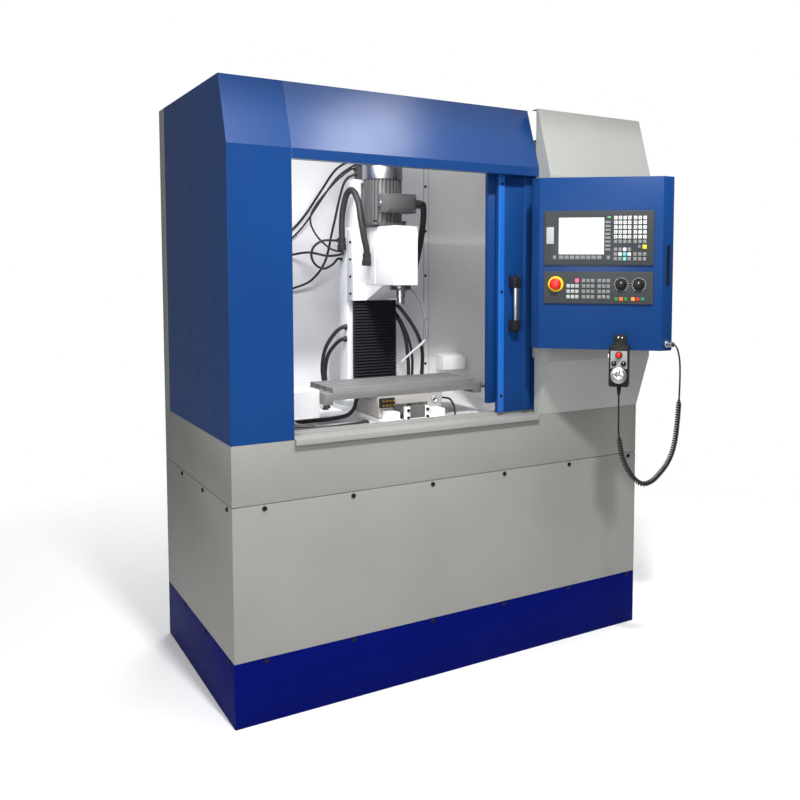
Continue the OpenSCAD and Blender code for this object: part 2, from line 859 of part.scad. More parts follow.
// Bed casting: flared foot, two flat ways and a trough for the cross screw
module bed() {
    top = z_way - way_h;
    half = bed_w / 2;
    section = [
        [-foot_w / 2, z_bed], [foot_w / 2, z_bed], [foot_w / 2, z_bed + foot_h],
        [half, z_bed + 2 * foot_h], [half, top], [way_out, top], [way_out, z_way], [way_in, z_way],
        [way_in, top], [trough_w / 2, top], [trough_w / 2, z_way - trough_d],
        [-trough_w / 2, z_way - trough_d], [-trough_w / 2, top], [-way_in, top], [-way_in, z_way],
        [-way_out, z_way], [-way_out, top], [-half, top], [-half, z_bed + 2 * foot_h],
        [-foot_w / 2, z_bed + foot_h]
    ];
    color("white") translate([machine_x, 0, 0]) difference() {
        union() {
            along_y(bed_y0, bed_y1) polygon(section);
            block([-end_w / 2, bed_y0, z_way - trough_d], [end_w / 2, bed_y0 + end_plate, z_way + end_h]);
        }
        block([-pocket_w / 2, bed_y0 - past, pocket_z],
            [pocket_w / 2, bed_y0 + pocket_d, pocket_z + pocket_h]);
        translate([0, bed_y0 + end_plate + past, y_screw_z]) rotate([90, 0, 0])
            cylinder(r = screw_r + bore_gap, h = end_plate / 2 + past);
    }
}

// Column casting: narrows to the back, with two ways and a bay for the head screw in its front
function column_plan(half) = [
    [half, y_column], [half, y_column + column_flat], [half - column_taper, bed_y1],
    [column_taper - half, bed_y1], [-half, y_column + column_flat], [-half, y_column]
];
module column() {
    foot = [
        [column_foot_half, y_column], [column_foot_half, bed_y1],
        [-column_foot_half, bed_y1], [-column_foot_half, y_column]
    ];
    bay = screw_bay_w / 2;
    color("white") translate([machine_x, 0, 0]) difference() {
        union() {
            upright(z_way, z_neck) polygon(column_plan(column_half));
            upright(z_neck, z_column) polygon(column_plan(neck_half));
            upright(z_way, z_way + column_foot_h) polygon(foot);
            for (x = [-z_way_out, z_way_in]) block([x, y_way_face, z_bellows],
                [x + z_way_out - z_way_in, y_column + past, z_neck]);
            block([-z_way_out, bellows_front, z_bellows - bellows_seat_h],
                [z_way_out, y_column + past, z_bellows]);
        }
        block([-bay, y_column - past, z_bellows], [bay, y_column + screw_bay_d, z_column - column_cap]);
        translate([0, z_screw_y, z_column - column_cap - past])
            cylinder(r = z_screw_r + bore_gap, h = column_cap + 2 * past);
    }
}

// Pleated way cover below the head
module bellows() {
    back = y_way_face - slide_gap;
    top = z_slide - slide_gap;
    pleats = 30;
    rise = (top - z_bellows) / (2 * pleats);
    depth = 10;
    pleat_points = [for (i = [0:2 * pleats]) [bellows_front + (i % 2) * depth, z_bellows + i * rise]];
    color("black") along_x(machine_x - z_way_out, machine_x + z_way_out)
        polygon(concat(pleat_points, [[back, top], [back, z_bellows]]));
}

// Servo motors of the cross slide and of the head
module axis_motors() {
    y0 = bed_y1 - y_motor_l;
    color("dimgray") {
        block([machine_x - y_motor_w / 2, y0, y_screw_z - y_motor_w / 2],
            [machine_x + y_motor_w / 2, bed_y1, y_screw_z + y_motor_w / 2]);
        block([machine_x - z_motor_w / 2, z_screw_y - z_motor_w / 2, z_column],
            [machine_x + z_motor_w / 2, z_screw_y + z_motor_w / 2, z_column + z_motor_h]);
        translate([machine_x, z_screw_y, z_column + z_motor_h]) cylinder(r = z_motor_w * 0.4, h = 30);
    }
}

// Ball screws, plain rods that turn in their nuts
module x_screw() {
    color("lightgray") translate([table_x0 - end_bracket, table_y, x_screw_z]) rotate([0, 90, 0])
        cylinder(r = x_screw_r, h = table_l + 1.5 * end_bracket);
}
module y_screw() {
    y0 = bed_y0 + end_plate / 2;
    y1 = bed_y1 - y_motor_l - slide_gap;
    color("lightgray") translate([machine_x, y1, y_screw_z]) rotate([90, 0, 0])
        cylinder(r = screw_r, h = y1 - y0 - slide_gap);
}
module z_screw() {
    color("lightgray") translate([machine_x, z_screw_y, z_bellows + slide_gap])
        cylinder(r = z_screw_r, h = z_column - z_bellows - 2 * slide_gap);
}

// Saddle casting: runs on the bed, with a dovetail for the table across its top
module saddle() {
    top = z_saddle - slide_gap;
    low = z_way + slide_gap;
    out = way_out + slide_gap;
    section = [
        [-saddle_w / 2, top], [-saddle_w / 2, top - saddle_edge],
        [-out - lip_w, z_way + saddle_root], [-out - lip_w, z_way - lip_drop],
        [-out, z_way - lip_drop], [-out, low], [-way_in, low], [-way_in, z_way + end_h + 4],
        [way_in, z_way + end_h + 4], [way_in, low], [out, low], [out, z_way - lip_drop],
        [out + lip_w, z_way - lip_drop], [out + lip_w, z_way + saddle_root],
        [saddle_w / 2, top - saddle_edge], [saddle_w / 2, top]
    ];
    guide = [
        [-guide_w / 2, top - past], [guide_w / 2, top - past], [guide_w / 2, top],
        [guide_w / 2 + guide_flare, z_saddle + guide_h],
        [-guide_w / 2 - guide_flare, z_saddle + guide_h], [-guide_w / 2, top]
    ];
    x0 = machine_x - saddle_w / 2;
    x1 = machine_x + saddle_w / 2;
    color("white") difference() {
        union() {
            difference() {
                union() {
                    translate([machine_x, 0, 0]) along_y(table_y0, table_y1) polygon(section);
                    translate([0, table_y, 0]) along_x(x0, x1) polygon(guide);
                }
                block([x0 - past, table_y - x_slot_w / 2, x_slot_z],
                    [x1 + past, table_y + x_slot_w / 2, z_table]);
            }
            block([machine_x - nut_l / 2, table_y - x_slot_w / 2, x_slot_z],
                [machine_x + nut_l / 2, table_y + x_slot_w / 2, z_saddle + guide_h - past]);
            block([machine_x - nut_w / 2, table_y - nut_l / 2, y_screw_z - screw_r * 2],
                [machine_x + nut_w / 2, table_y + nut_l / 2, z_way + end_h + 4]);
        }
        translate([x0, table_y, x_screw_z]) rotate([0, 90, 0])
            cylinder(r = x_screw_r + bore_gap, h = saddle_w);
        translate([machine_x, table_y1, y_screw_z]) rotate([90, 0, 0])
            cylinder(r = screw_r + bore_gap, h = table_w);
    }
}

// Work table with three T-slots and a bracket for the screw at each end
module table() {
    slot_t = 9;
    throat = 10;
    head = slot_w / 2 + 5;
    space = table_w * 0.3;
    groove = guide_w / 2 + slide_gap;
    groove_h = guide_h + slide_gap;
    brackets = [table_x0 - end_bracket, table_x1 - past];
    color("gray") difference() {
        union() {
            translate([0, table_y, 0]) along_x(table_x0, table_x1) difference() {
                translate([-table_w / 2, z_saddle]) square([table_w, table_t]);
                polygon([
                    [-groove, z_saddle - past], [groove, z_saddle - past], [groove, z_saddle],
                    [groove + guide_flare, z_saddle + groove_h],
                    [-groove - guide_flare, z_saddle + groove_h], [-groove, z_saddle]
                ]);
                for (y = [-space, 0, space]) {
                    translate([y - slot_w / 2, z_table - throat]) square([slot_w, throat + past]);
                    translate([y - head, z_table - throat - slot_t]) square([2 * head, slot_t]);
                }
            }
            for (x = brackets) block([x, table_y - table_w / 2, z_table - end_bracket_h],
                [x + end_bracket + past, table_y + table_w / 2, z_table - throat - slot_t]);
        }
        translate([table_x0 - end_bracket - past, table_y, x_screw_z]) rotate([0, 90, 0])
            cylinder(r = x_screw_r + bore_gap, h = table_l + 1.5 * end_bracket + past + slide_gap);
    }
}

// Sheet cover over the motor that drives the table
module x_motor_cover() {
    x1 = table_x0 - end_bracket;
    color("white") along_x(x1 - drive_cover_l, x1) translate([drive_cover_y, drive_cover_z])
        rounded(drive_cover_w, drive_cover_h, 4);
}

// Head casting: slide on the column, box for the belt and bore for the spindle
module head_casting() {
    back = y_way_face - slide_gap;
    body_top = z_head + head_h;
    nut = 70;
    color("white") translate([machine_x, 0, 0]) difference() {
        union() {
            block([-z_way_out, slide_front, z_slide], [z_way_out, back, body_top + slide_up]);
            for (x = [-z_way_out - slide_gap - slide_lip, z_way_out + slide_gap])
                block([x, slide_front, z_slide], [x + slide_lip, y_column - 2, body_top + slide_up]);
            for (x = [-z_way_out - slide_gap, z_way_out])
                block([x, slide_front, z_slide], [x + slide_gap, back, body_top + slide_up]);
            along_x(-casting_half, casting_half) polygon([
                [casting_front, z_head], [casting_front, body_top], [slide_front, body_top],
                [slide_front, z_slide], [spindle_y + nose_r + 2, z_head]
            ]);
            block([-screw_bay_w / 2 + 8, back, z_head + head_h / 2 - nut / 2],
                [screw_bay_w / 2 - 8, z_screw_y + z_screw_r + 10, z_head + head_h / 2 + nut / 2]);
        }
        block([-belt_room_half, casting_front + belt_room_wall, z_belt_room],
            [belt_room_half, slide_front - 10, z_belt_room + belt_room_h]);
        translate([0, motor_y, z_belt_room]) cylinder(r = motor_hole_r, h = belt_room_h + belt_roof + past);
        translate([0, spindle_y, z_head - past])
            cylinder(r = cartridge_r + bore_gap, h = head_h / 2 + belt_room_h);
        translate([0, z_screw_y, z_head]) cylinder(r = z_screw_r + bore_gap, h = head_h);
    }
}

// Sheet cover over the front of the head
module head_cover() {
    outer = [
        [cover_front, z_head], [cover_front, z_head + head_h],
        [cover_top_back, z_head + head_h], [slide_front, z_head]
    ];
    inner = casting_half;
    color("white") translate([machine_x, 0, 0]) difference() {
        along_x(-head_w / 2, head_w / 2) polygon(outer);
        block([-inner, casting_front, z_head - past], [inner, y_back, z_head + head_h + past]);
    }
}

// Spindle motor: flange, finned barrel, fan cowl and terminal box
module spindle_motor() {
    half = motor_flange_w / 2;
    color("dimgray") difference() {
        union() {
            block([machine_x - casting_half, motor_y - half, z_motor_foot],
                [machine_x + casting_half, slide_front, z_motor_foot + motor_plate_h]);
            translate([machine_x - half, motor_y - half, z_motor_foot + motor_plate_h])
                linear_extrude(motor_flange_h) rounded(motor_flange_w, motor_flange_w, 20);
            translate([machine_x, motor_y, z_fins]) cylinder(r = core_r, h = fin_h);
            for (i = [0:fin_count - 1]) translate([machine_x, motor_y, z_fins])
                rotate(360 * i / fin_count) translate([core_r - 4, -fin_t / 2, 0])
                    cube([motor_d / 2 - core_r, fin_t, fin_h]);
            translate([machine_x, motor_y, z_cowl]) rotate_extrude() polygon([
                [0, 0], [motor_d / 2, 0], [motor_d / 2, cowl_h - 14],
                [motor_d / 2 - 14, cowl_h], [0, cowl_h]
            ]);
            block([terminal_x - terminal_w / 2, terminal_y - terminal_d, terminal_z],
                [terminal_x + terminal_w / 2, motor_y - core_r / 2, terminal_z + terminal_h]);
        }
        translate([machine_x, motor_y, z_motor_foot - past])
            cylinder(r = spindle_r + bore_gap, h = z_fins - z_motor_foot + past);
        for (i = [0:11]) translate([machine_x, motor_y, z_cowl + cowl_h - 4])
            rotate(30 * i) translate([20, -4, 0]) cube([36, 8, 4 + past]);
    }
}

// Spindle cartridge: sleeve in the head with its nose below
module spindle_cartridge() {
    color("slategray") translate([machine_x, spindle_y, 0]) rotate_extrude() polygon([
        [spindle_r + bore_gap, z_head - nose_h], [nose_r - 4, z_head - nose_h], [nose_r, z_head - nose_h + 4],
        [nose_r, z_head], [cartridge_r, z_head], [cartridge_r, z_belt_room],
        [spindle_r + bore_gap, z_belt_room]
    ]);
}

// Spindle shaft with its pulley in the belt room
module spindle_shaft() {
    z_nose = z_head - nose_h - slide_gap;
    z_pulley = z_belt_room + slide_gap;
    color("lightgray") translate([machine_x, spindle_y, 0]) rotate_extrude() polygon([
        [0, z_nose - spindle_nose_h], [spindle_nose_r, z_nose - spindle_nose_h], [spindle_nose_r, z_nose],
        [spindle_r, z_nose], [spindle_r, z_pulley], [spindle_pulley_r, z_pulley],
        [spindle_pulley_r, z_pulley + pulley_h], [0, z_pulley + pulley_h]
    ]);
}

// Collet holder with an open bore for the tool
module tool_holder() {
    z0 = z_head - nose_h - slide_gap - spindle_nose_h;
    color("lightgray") translate([machine_x, spindle_y, 0]) rotate_extrude() polygon([
        [collet_d / 2, z0 - holder_h], [holder_r - 2, z0 - holder_h], [holder_r, z0 - holder_h + 2],
        [holder_r, z0], [0, z0], [0, z0 - holder_h + collet_deep], [collet_d / 2, z0 - holder_h + collet_deep]
    ]);
}

// Motor shaft with the driving pulley
module motor_pulley() {
    z_pulley = z_belt_room + slide_gap;
    color("lightgray") translate([machine_x, motor_y, 0]) rotate_extrude() polygon([
        [0, z_pulley], [motor_pulley_r, z_pulley], [motor_pulley_r, z_pulley + pulley_h],
        [spindle_r, z_pulley + pulley_h], [spindle_r, z_fins - slide_gap], [0, z_fins - slide_gap]
    ]);
}

// Flat belt round both pulleys
module belt_outline(extra) {
    reach = motor_y - spindle_y;
    r1 = spindle_pulley_r + extra;
    r2 = motor_pulley_r + extra;
    lean = asin((r1 - r2) / reach);
    circle(r1);
    translate([0, reach]) circle(r2);
    polygon([
        [r1 * cos(lean), r1 * sin(lean)], [r2 * cos(lean), reach + r2 * sin(lean)],
        [-r2 * cos(lean), reach + r2 * sin(lean)], [-r1 * cos(lean), r1 * sin(lean)]
    ]);
}
module drive_belt() {
    z0 = z_belt_room + slide_gap + belt_lift - belt_t;
    color("black") translate([machine_x, spindle_y, z0]) linear_extrude(belt_h) difference() {
        belt_outline(slide_gap + belt_t);
        belt_outline(slide_gap);
    }
}

// Door leaf: folded pan with a window, its lower left front corner at the place given
module leaf(x, y, z) {
    top = z_leaf_top;
    x1 = x + leaf_w;
    y1 = y + leaf_t;
    skin = leaf_skin;
    win = [x + stile_w, x1 - stile_w / 2, z_leaf_2 + leaf_rail_h, top - leaf_rail_h];
    difference() {
        union() {
            block([x, y, z], [x1, y1, top]);
            for (s = [x + shoe_in, x1 - shoe_in - shoe_l])
                block([s, y + leaf_t / 2 - shoe_t / 2, top],
                    [s + shoe_l, y + leaf_t / 2 + shoe_t / 2, top + shoe_h]);
            if (z > z_leaf) for (s = [x + shoe_in, x1 - shoe_in - shoe_l])
                block([s, y + leaf_t / 2 - shoe_t / 2, z_leaf],
                    [s + shoe_l, y + leaf_t / 2 + shoe_t / 2, z + skin / 2]);
        }
        block([x + skin, y + skin, z + skin], [x1 - skin, y1 - skin, top - skin]);
        block([x + leaf_edge, y + skin, z + leaf_edge], [x1 - leaf_edge, y1 + past, top - leaf_edge]);
        block([win[0], y - past, win[2]], [win[1], y1, win[3]]);
    }
}
module pane(x, y) {
    top = z_leaf_top;
    block([x + stile_w - pane_lap, y + leaf_skin, z_leaf_2 + leaf_rail_h - pane_lap],
        [x + leaf_w - stile_w / 2 + pane_lap, y + leaf_skin + pane_t, top - leaf_rail_h + pane_lap]);
}
module front_door_leaf() {
    color("royalblue") leaf(leaf_x, y_leaf, z_leaf);
}
module front_door_window() {
    color("lightblue", 0.4) pane(leaf_x, y_leaf);
}
module rear_door_leaf() {
    color("royalblue") leaf(rear_leaf_x, y_leaf_2, z_leaf_2);
}
module rear_door_window() {
    color("lightblue", 0.4) pane(rear_leaf_x, y_leaf_2);
}

// Pull handle: flat bar between two angled end brackets
module door_handle() {
    x0 = leaf_x + handle_in;
    z0 = handle_z;
    z1 = handle_z + handle_l;
    out = y_leaf - handle_out;
    color("black") along_x(x0, x0 + handle_w) polygon([
        [y_leaf, z0], [y_leaf, z0 + 26], [out + handle_t, z0 + 40], [out + handle_t, z1 - 40],
        [y_leaf, z1 - 26], [y_leaf, z1], [out + 8, z1], [out, z1 - 12], [out, z0 + 12], [out + 8, z0]
    ]);
}

// Bracket on the cabinet front with the swivel pin of the control box
module swivel_bracket() {
    y0 = y_front - cabinet_proud;
    z0 = barrel_z - slide_gap;
    z1 = barrel_z + barrel_h + slide_gap;
    color("gray") {
        block([pivot_x - bracket_w / 2, y0 - bracket_t, z0 - bracket_over],
            [pivot_x + bracket_w / 2, y0, z1 + bracket_over]);
        for (z = [z0 - lug_t, z1]) {
            block([pivot_x - lug_r, pivot_y, z], [pivot_x + lug_r, y0 - bracket_t, z + lug_t]);
            translate([pivot_x, pivot_y, z]) cylinder(r = lug_r, h = lug_t);
        }
        translate([pivot_x, pivot_y, z0 - lug_t]) cylinder(r = pin_r, h = z1 - z0 + 2 * lug_t);
    }
}

// Control box: folded case with bevelled sides and the hinge barrel on its back
module control_box() {
    half = box_w / 2;
    outline = [
        [-half, -back_gap], [-half, y_face + bevel], [-face_w / 2, y_face], [face_w / 2, y_face],
        [half, y_face + bevel], [half, -back_gap]
    ];
    color("royalblue") at_box() difference() {
        union() {
            difference() {
                linear_extrude(box_h) polygon(outline);
                translate([0, 0, case_t]) linear_extrude(box_h - 2 * case_t) offset(delta = -case_t)
                    polygon(outline);
                translate([box_w / 4, -back_gap - case_t - past, box_h / 4]) rotate([-90, 0, 0])
                    cylinder(r = entry_r, h = case_t + 2 * past);
            }
            translate([0, 0, barrel_z - box_z]) {
                cylinder(r = barrel_r, h = barrel_h);
                block([-barrel_r, -back_gap, 0], [barrel_r, 0, barrel_h]);
            }
        }
        translate([0, 0, barrel_z - box_z - past]) cylinder(r = pin_r + bore_gap, h = barrel_h + 2 * past);
    }
}

// The two operator panels, with the hollow that the screen sits in
module panel_plate(h) {
    translate([panel_x, y_face, 0]) rotate([90, 0, 0]) linear_extrude(panel_t) rounded(panel_w, h, panel_r);
}
module operator_panels() {
    color("dimgray") at_box() {
        difference() {
            translate([0, 0, display_top - display_h]) panel_plate(display_h);
            on_front(panel_x + screen_x, y_face - panel_t + screen_d, display_top - screen_drop - screen_h)
                cube([screen_w, screen_h, screen_d + past]);
        }
        translate([0, 0, machine_top - keys_h]) panel_plate(keys_h);
    }
}
module display_screen() {
    color("white") at_box()
        on_front(panel_x + screen_x, y_face - panel_t + screen_d, display_top - screen_drop - screen_h)
            cube([screen_w, screen_h, screen_d / 2]);
}

// Keys on the panels: blocks of like keys, from the upper left corner of the block
module key(w, h) {
    linear_extrude(key_h) rounded(w, h, key_r);
}
module key_block(b, top) {
    for (i = [0:b[2] - 1], j = [0:b[3] - 1])
        on_front(panel_x + b[0] + i * b[4], y_face - panel_t, top - b[1] - j * b[5] - b[7]) key(b[6], b[7]);
}
module panel_keys() {
    color("lightgray") at_box() {
        for (b = display_keys) key_block(b, display_top);
        for (b = machine_keys) key_block(b, machine_top);
    }
}

// Emergency stop: collar on the panel and the mushroom button in it
module at_estop() {
    at_box() on_front(panel_x + estop_x, y_face - panel_t, machine_top - estop_drop) children();
}
module estop_base() {
    color("gold") at_estop() difference() {
        cylinder(r = estop_base_r, h = estop_base_h);
        translate([0, 0, past]) cylinder(r = estop_stem_r + bore_gap, h = estop_base_h);
    }
}
module estop_button() {
    z0 = estop_base_h + estop_travel + slide_gap;
    color("red") at_estop() rotate_extrude() polygon([
        [0, estop_base_h - slide_gap], [estop_stem_r, estop_base_h - slide_gap], [estop_stem_r, z0],
        [estop_r, z0], [estop_r, z0 + estop_head_h * 0.6], [estop_r * 0.8, z0 + estop_head_h],
        [0, z0 + estop_head_h]
    ]);
}

// Turning knobs: skirt, grip and a pointer ridge
module knob(r, h) {
    difference() {
        union() {
            cylinder(r = r, h = h * 0.4);
            translate([0, 0, h * 0.4]) cylinder(r = r * 0.8, h = h * 0.6);
        }
        translate([-past / 2, r * 0.2, h - past]) cube([past, r, 2 * past]);
    }
}
module panel_knob(x) {
    color("black") at_box() on_front(panel_x + x, y_face - panel_t - slide_gap, machine_top - knob_drop)
        knob(knob_r, knob_h);
}
module feed_knob() {
    panel_knob(feed_x);
}
module speed_knob() {
    panel_knob(speed_x);
}

// Hook plate for the pendant
module pendant_hook() {
    color("black") at_box() translate([pendant_x - hook_w / 2, y_face, 0]) {
        block([0, -hook_t, hook_low], [hook_w, 0, hook_high]);
        block([0, -shelf_out, hook_low], [hook_w, 0, hook_low + shelf_h]);
        block([0, -shelf_out, hook_low], [hook_w, -shelf_out + hook_t, hook_low + shelf_h + hook_lip_h]);
    }
}

// Pendant: hand-held case that hangs on the hook by a tab behind it, with its strain relief
module pendant_body() {
    tab_z = hook_low + shelf_h + hook_lip_h + slide_gap;
    behind = shelf_out - hook_t - slide_gap;
    color("black") at_box() difference() {
        union() {
            translate([pendant_x - pendant_w / 2, y_pendant, pendant_top - pendant_l]) rotate([90, 0, 0])
                linear_extrude(pendant_d) rounded(pendant_w, pendant_l, pendant_r);
            translate([pendant_x - hook_w / 2, y_face, 0]) {
                block([4, -shelf_out - tab_t, tab_z], [hook_w - 4, -behind + tab_t, tab_z + tab_t]);
                block([4, -behind, hook_low + shelf_h + slide_gap],
                    [hook_w - 4, -behind + tab_t, tab_z + tab_t]);
                block([4, -shelf_out - tab_t, 0], [hook_w - 4, -shelf_out - slide_gap, tab_z + tab_t]);
            }
            translate([pendant_x, y_face + cord_out, cord_start_z])
                cylinder(r1 = relief_tip, r2 = relief_r, h = relief_l);
            on_front(pendant_x, y_pendant - pendant_d, pendant_top - stop_drop)
                cylinder(r = stop_r + 3, h = stop_collar_h);
        }
        on_front(pendant_x, y_pendant - pendant_d + stop_h / 2, pendant_top - stop_drop)
            cylinder(r = stop_r * 0.6 + bore_gap, h = stop_h);
        block([pendant_x - pendant_w / 2 - past, y_pendant - pendant_d / 2 - enable_w / 2 - slide_gap,
                pendant_top - enable_drop - enable_l / 2 - slide_gap],
            [pendant_x - pendant_w / 2 + enable_deep, y_pendant - pendant_d / 2 + enable_w / 2 + slide_gap,
                pendant_top - enable_drop + enable_l / 2 + slide_gap]);
    }
}
module on_pendant(x, drop) {
    at_box() on_front(pendant_x + x, y_pendant - pendant_d - slide_gap, pendant_top - drop) children();
}
module pendant_dial() {
    r = dial_d / 2;
    color("silver") on_pendant(0, dial_drop) difference() {
        union() {
            cylinder(r = r, h = dial_h * 0.4);
            translate([0, 0, dial_h * 0.4]) cylinder(r = r * 0.78, h = dial_h * 0.6);
            translate([0, r * 0.5, dial_h]) cylinder(r = 6, h = 10);
        }
        translate([0, 0, dial_h - 2]) cylinder(r = r * 0.25, h = 3);
    }
}
module pendant_axis_knob() {
    color("black") on_pendant(-selector_space / 2, selector_drop) knob(selector_r, selector_h);
}
module pendant_step_knob() {
    color("black") on_pendant(selector_space / 2, selector_drop) knob(selector_r, selector_h);
}
module pendant_stop_button() {
    z0 = stop_collar_h + stop_travel;
    color("red") on_pendant(0, stop_drop) rotate_extrude() polygon([
        [0, 0], [stop_r * 0.6, 0], [stop_r * 0.6, z0], [stop_r, z0], [stop_r, z0 + stop_h * 0.6],
        [stop_r * 0.7, z0 + stop_h], [0, z0 + stop_h]
    ]);
}
module pendant_enable_button() {
    x0 = pendant_x - pendant_w / 2;
    y0 = y_pendant - pendant_d / 2;
    z0 = pendant_top - enable_drop;
    color("dimgray") at_box() block([x0 - enable_out, y0 - enable_w / 2, z0 - enable_l / 2],
        [x0 + enable_deep - enable_out, y0 + enable_w / 2, z0 + enable_l / 2]);
}

// Connector on the right bevel of the box
module cord_connector() {
    color("silver") at_box() translate([face_w / 2 + bevel / 2, y_face + bevel / 2, connector_z])
        rotate([90, 0, 45]) {
            cylinder(r = connector_nut_r, h = connector_nut_h);
            cylinder(r = connector_r, h = connector_l);
        }
}

// Pendant cord: thin at both ends, and one thick tube where it is coiled
module pendant_cord() {
    color("black") at_box() tube_along(cord_route, cord_radius, 3, 8, [0.1, 1, 0]);
}

// Corrugated conduits from the column to the head and to its motor
module head_conduits() {
    color("black") {
        tube_along(left_conduit, left_conduit_r, 3, 10, [1, 0, 0.1]);
        tube_along(motor_conduit, motor_conduit_r, 3, 10, [0.2, 1, 0.1]);
    }
}

// Cables between the column, the inner wall and the tray
module wall_cables() {
    color("dimgray") {
        for (route = [upper_cable, fitting_cable, lower_cable])
            tube_along(route, same(cable_r, len(route)), 3, 8, [1, 0.2, 0.1]);
        for (route = [left_lead, left_lead_2, right_lead, right_lead_2])
            tube_along(route, same(lead_r, len(route)), 3, 8, [0.1, 1, 0.1]);
    }
}

// Coolant hose with its nozzle aimed under the spindle
module coolant_hose() {
    color("black") tube_along(hose, hose_radius, 3, 8, [0.1, 1, 0.2]);
}

// Lead of the table motor, laid in a loop to the saddle
module table_cables() {
    color("black") tube_along(drive_lead, same(lead_r, len(drive_lead)), 3, 8, [0.1, 1, 0.1]);
}

base_plinth();
lower_panels();
stand_frame();
panel_bolts();
tray_skirt();
chip_tray();
door_sill();
left_cover();
header_cover();
door_rail();
cabinet_front();
right_cover();
rear_cover();
back_liner();
wall_box();
bed();
column();
bellows();
axis_motors();
swivel_bracket();
wall_cables();
coolant_hose();
x_screw();
y_screw();
z_screw();
saddle();
table_cables();
table();
x_motor_cover();
head_casting();
head_cover();
spindle_motor();
spindle_cartridge();
head_conduits();
drive_belt();
spindle_shaft();
tool_holder();
motor_pulley();
front_door_leaf();
front_door_window();
door_handle();
rear_door_leaf();
rear_door_window();
control_box();
operator_panels();
display_screen();
panel_keys();
estop_base();
estop_button();
feed_knob();
speed_knob();
pendant_hook();
pendant_body();
pendant_dial();
pendant_axis_knob();
pendant_step_knob();
pendant_stop_button();
pendant_enable_button();
cord_connector();
pendant_cord();
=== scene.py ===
"""Small enclosed milling machine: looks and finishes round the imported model, in metres, +Z up."""

import json
import math

import bpy
from mathutils import Matrix, Vector

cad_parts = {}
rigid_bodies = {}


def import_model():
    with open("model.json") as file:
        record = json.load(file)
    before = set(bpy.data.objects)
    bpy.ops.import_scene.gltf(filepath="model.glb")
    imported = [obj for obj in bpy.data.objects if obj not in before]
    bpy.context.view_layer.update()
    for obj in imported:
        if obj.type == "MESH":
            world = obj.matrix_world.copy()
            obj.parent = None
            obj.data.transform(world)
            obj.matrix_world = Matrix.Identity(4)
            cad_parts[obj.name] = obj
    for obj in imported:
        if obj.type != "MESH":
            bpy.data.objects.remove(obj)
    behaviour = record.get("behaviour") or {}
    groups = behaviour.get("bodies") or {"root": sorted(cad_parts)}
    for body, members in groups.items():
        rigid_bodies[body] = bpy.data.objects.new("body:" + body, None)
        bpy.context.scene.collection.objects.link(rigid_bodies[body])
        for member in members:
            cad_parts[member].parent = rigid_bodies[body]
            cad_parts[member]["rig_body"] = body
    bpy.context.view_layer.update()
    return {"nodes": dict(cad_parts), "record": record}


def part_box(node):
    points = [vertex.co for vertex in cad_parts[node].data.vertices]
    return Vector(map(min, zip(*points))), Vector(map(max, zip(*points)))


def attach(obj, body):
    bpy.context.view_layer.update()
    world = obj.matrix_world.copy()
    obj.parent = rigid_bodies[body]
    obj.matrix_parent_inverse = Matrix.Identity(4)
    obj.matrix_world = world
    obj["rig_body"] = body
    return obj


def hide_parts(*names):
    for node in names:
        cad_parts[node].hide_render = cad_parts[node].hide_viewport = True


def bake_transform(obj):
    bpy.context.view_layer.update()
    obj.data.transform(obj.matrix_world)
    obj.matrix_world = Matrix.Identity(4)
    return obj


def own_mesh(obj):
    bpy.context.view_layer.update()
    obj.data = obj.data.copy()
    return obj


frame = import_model()
nodes = frame["nodes"]


# Studio. The machine is seen from the front left at the height of its door, on a pale floor in
# front of white paper. One wide soft lamp hangs overhead, and smaller ones light the front, the
# header, the right side, the back and the inside.
scene = bpy.context.scene
scene.view_settings.view_transform = "Standard"
aim = Matrix.Rotation(math.radians(-33), 4, "Z") @ Matrix.Rotation(math.radians(86), 4, "X")
aim = aim @ Matrix.Rotation(math.radians(0.3), 4, "Z")
bpy.ops.object.camera_add(location=(-1.6791, -3.3145, 1.5349), rotation=aim.to_euler())
camera = bpy.context.object
camera.data.sensor_width = 36
camera.data.lens = 39.69
camera.data.shift_x = -0.125
camera.data.shift_y = -0.087
scene.camera = camera


def shader_node(tree, kind, **values):
    """New shader node, with plain values set on its sockets."""
    made = tree.nodes.new("ShaderNode" + kind)
    for socket, value in values.items():
        made.inputs[socket.replace("_", " ")].default_value = value
    return made


room = bpy.data.worlds.new("studio_room")
room.use_nodes = True
studio = room.node_tree
studio.nodes["Background"].inputs["Color"].default_value = (0.95, 0.97, 1.0, 1)
studio.nodes["Background"].inputs["Strength"].default_value = 0.2
paper = shader_node(studio, "Background", Color=(1, 1, 1, 1))
ray = shader_node(studio, "LightPath")
seen = shader_node(studio, "MixShader")
studio.links.new(ray.outputs["Is Camera Ray"], seen.inputs["Fac"])
studio.links.new(studio.nodes["Background"].outputs["Background"], seen.inputs[1])
studio.links.new(paper.outputs["Background"], seen.inputs[2])
studio.links.new(seen.outputs["Shader"], studio.nodes["World Output"].inputs["Surface"])
scene.world = room


def soft_lamp(name, place, target, width, height, power):
    """Rectangular soft lamp aimed at a point."""
    turn = (Vector(target) - Vector(place)).to_track_quat("-Z", "Y").to_euler()
    bpy.ops.object.light_add(type="AREA", location=place, rotation=turn)
    lamp = bpy.context.object
    lamp.name = name
    lamp.data.shape = "RECTANGLE"
    lamp.data.size = width
    lamp.data.size_y = height
    lamp.data.energy = power
    lamp.visible_camera = False


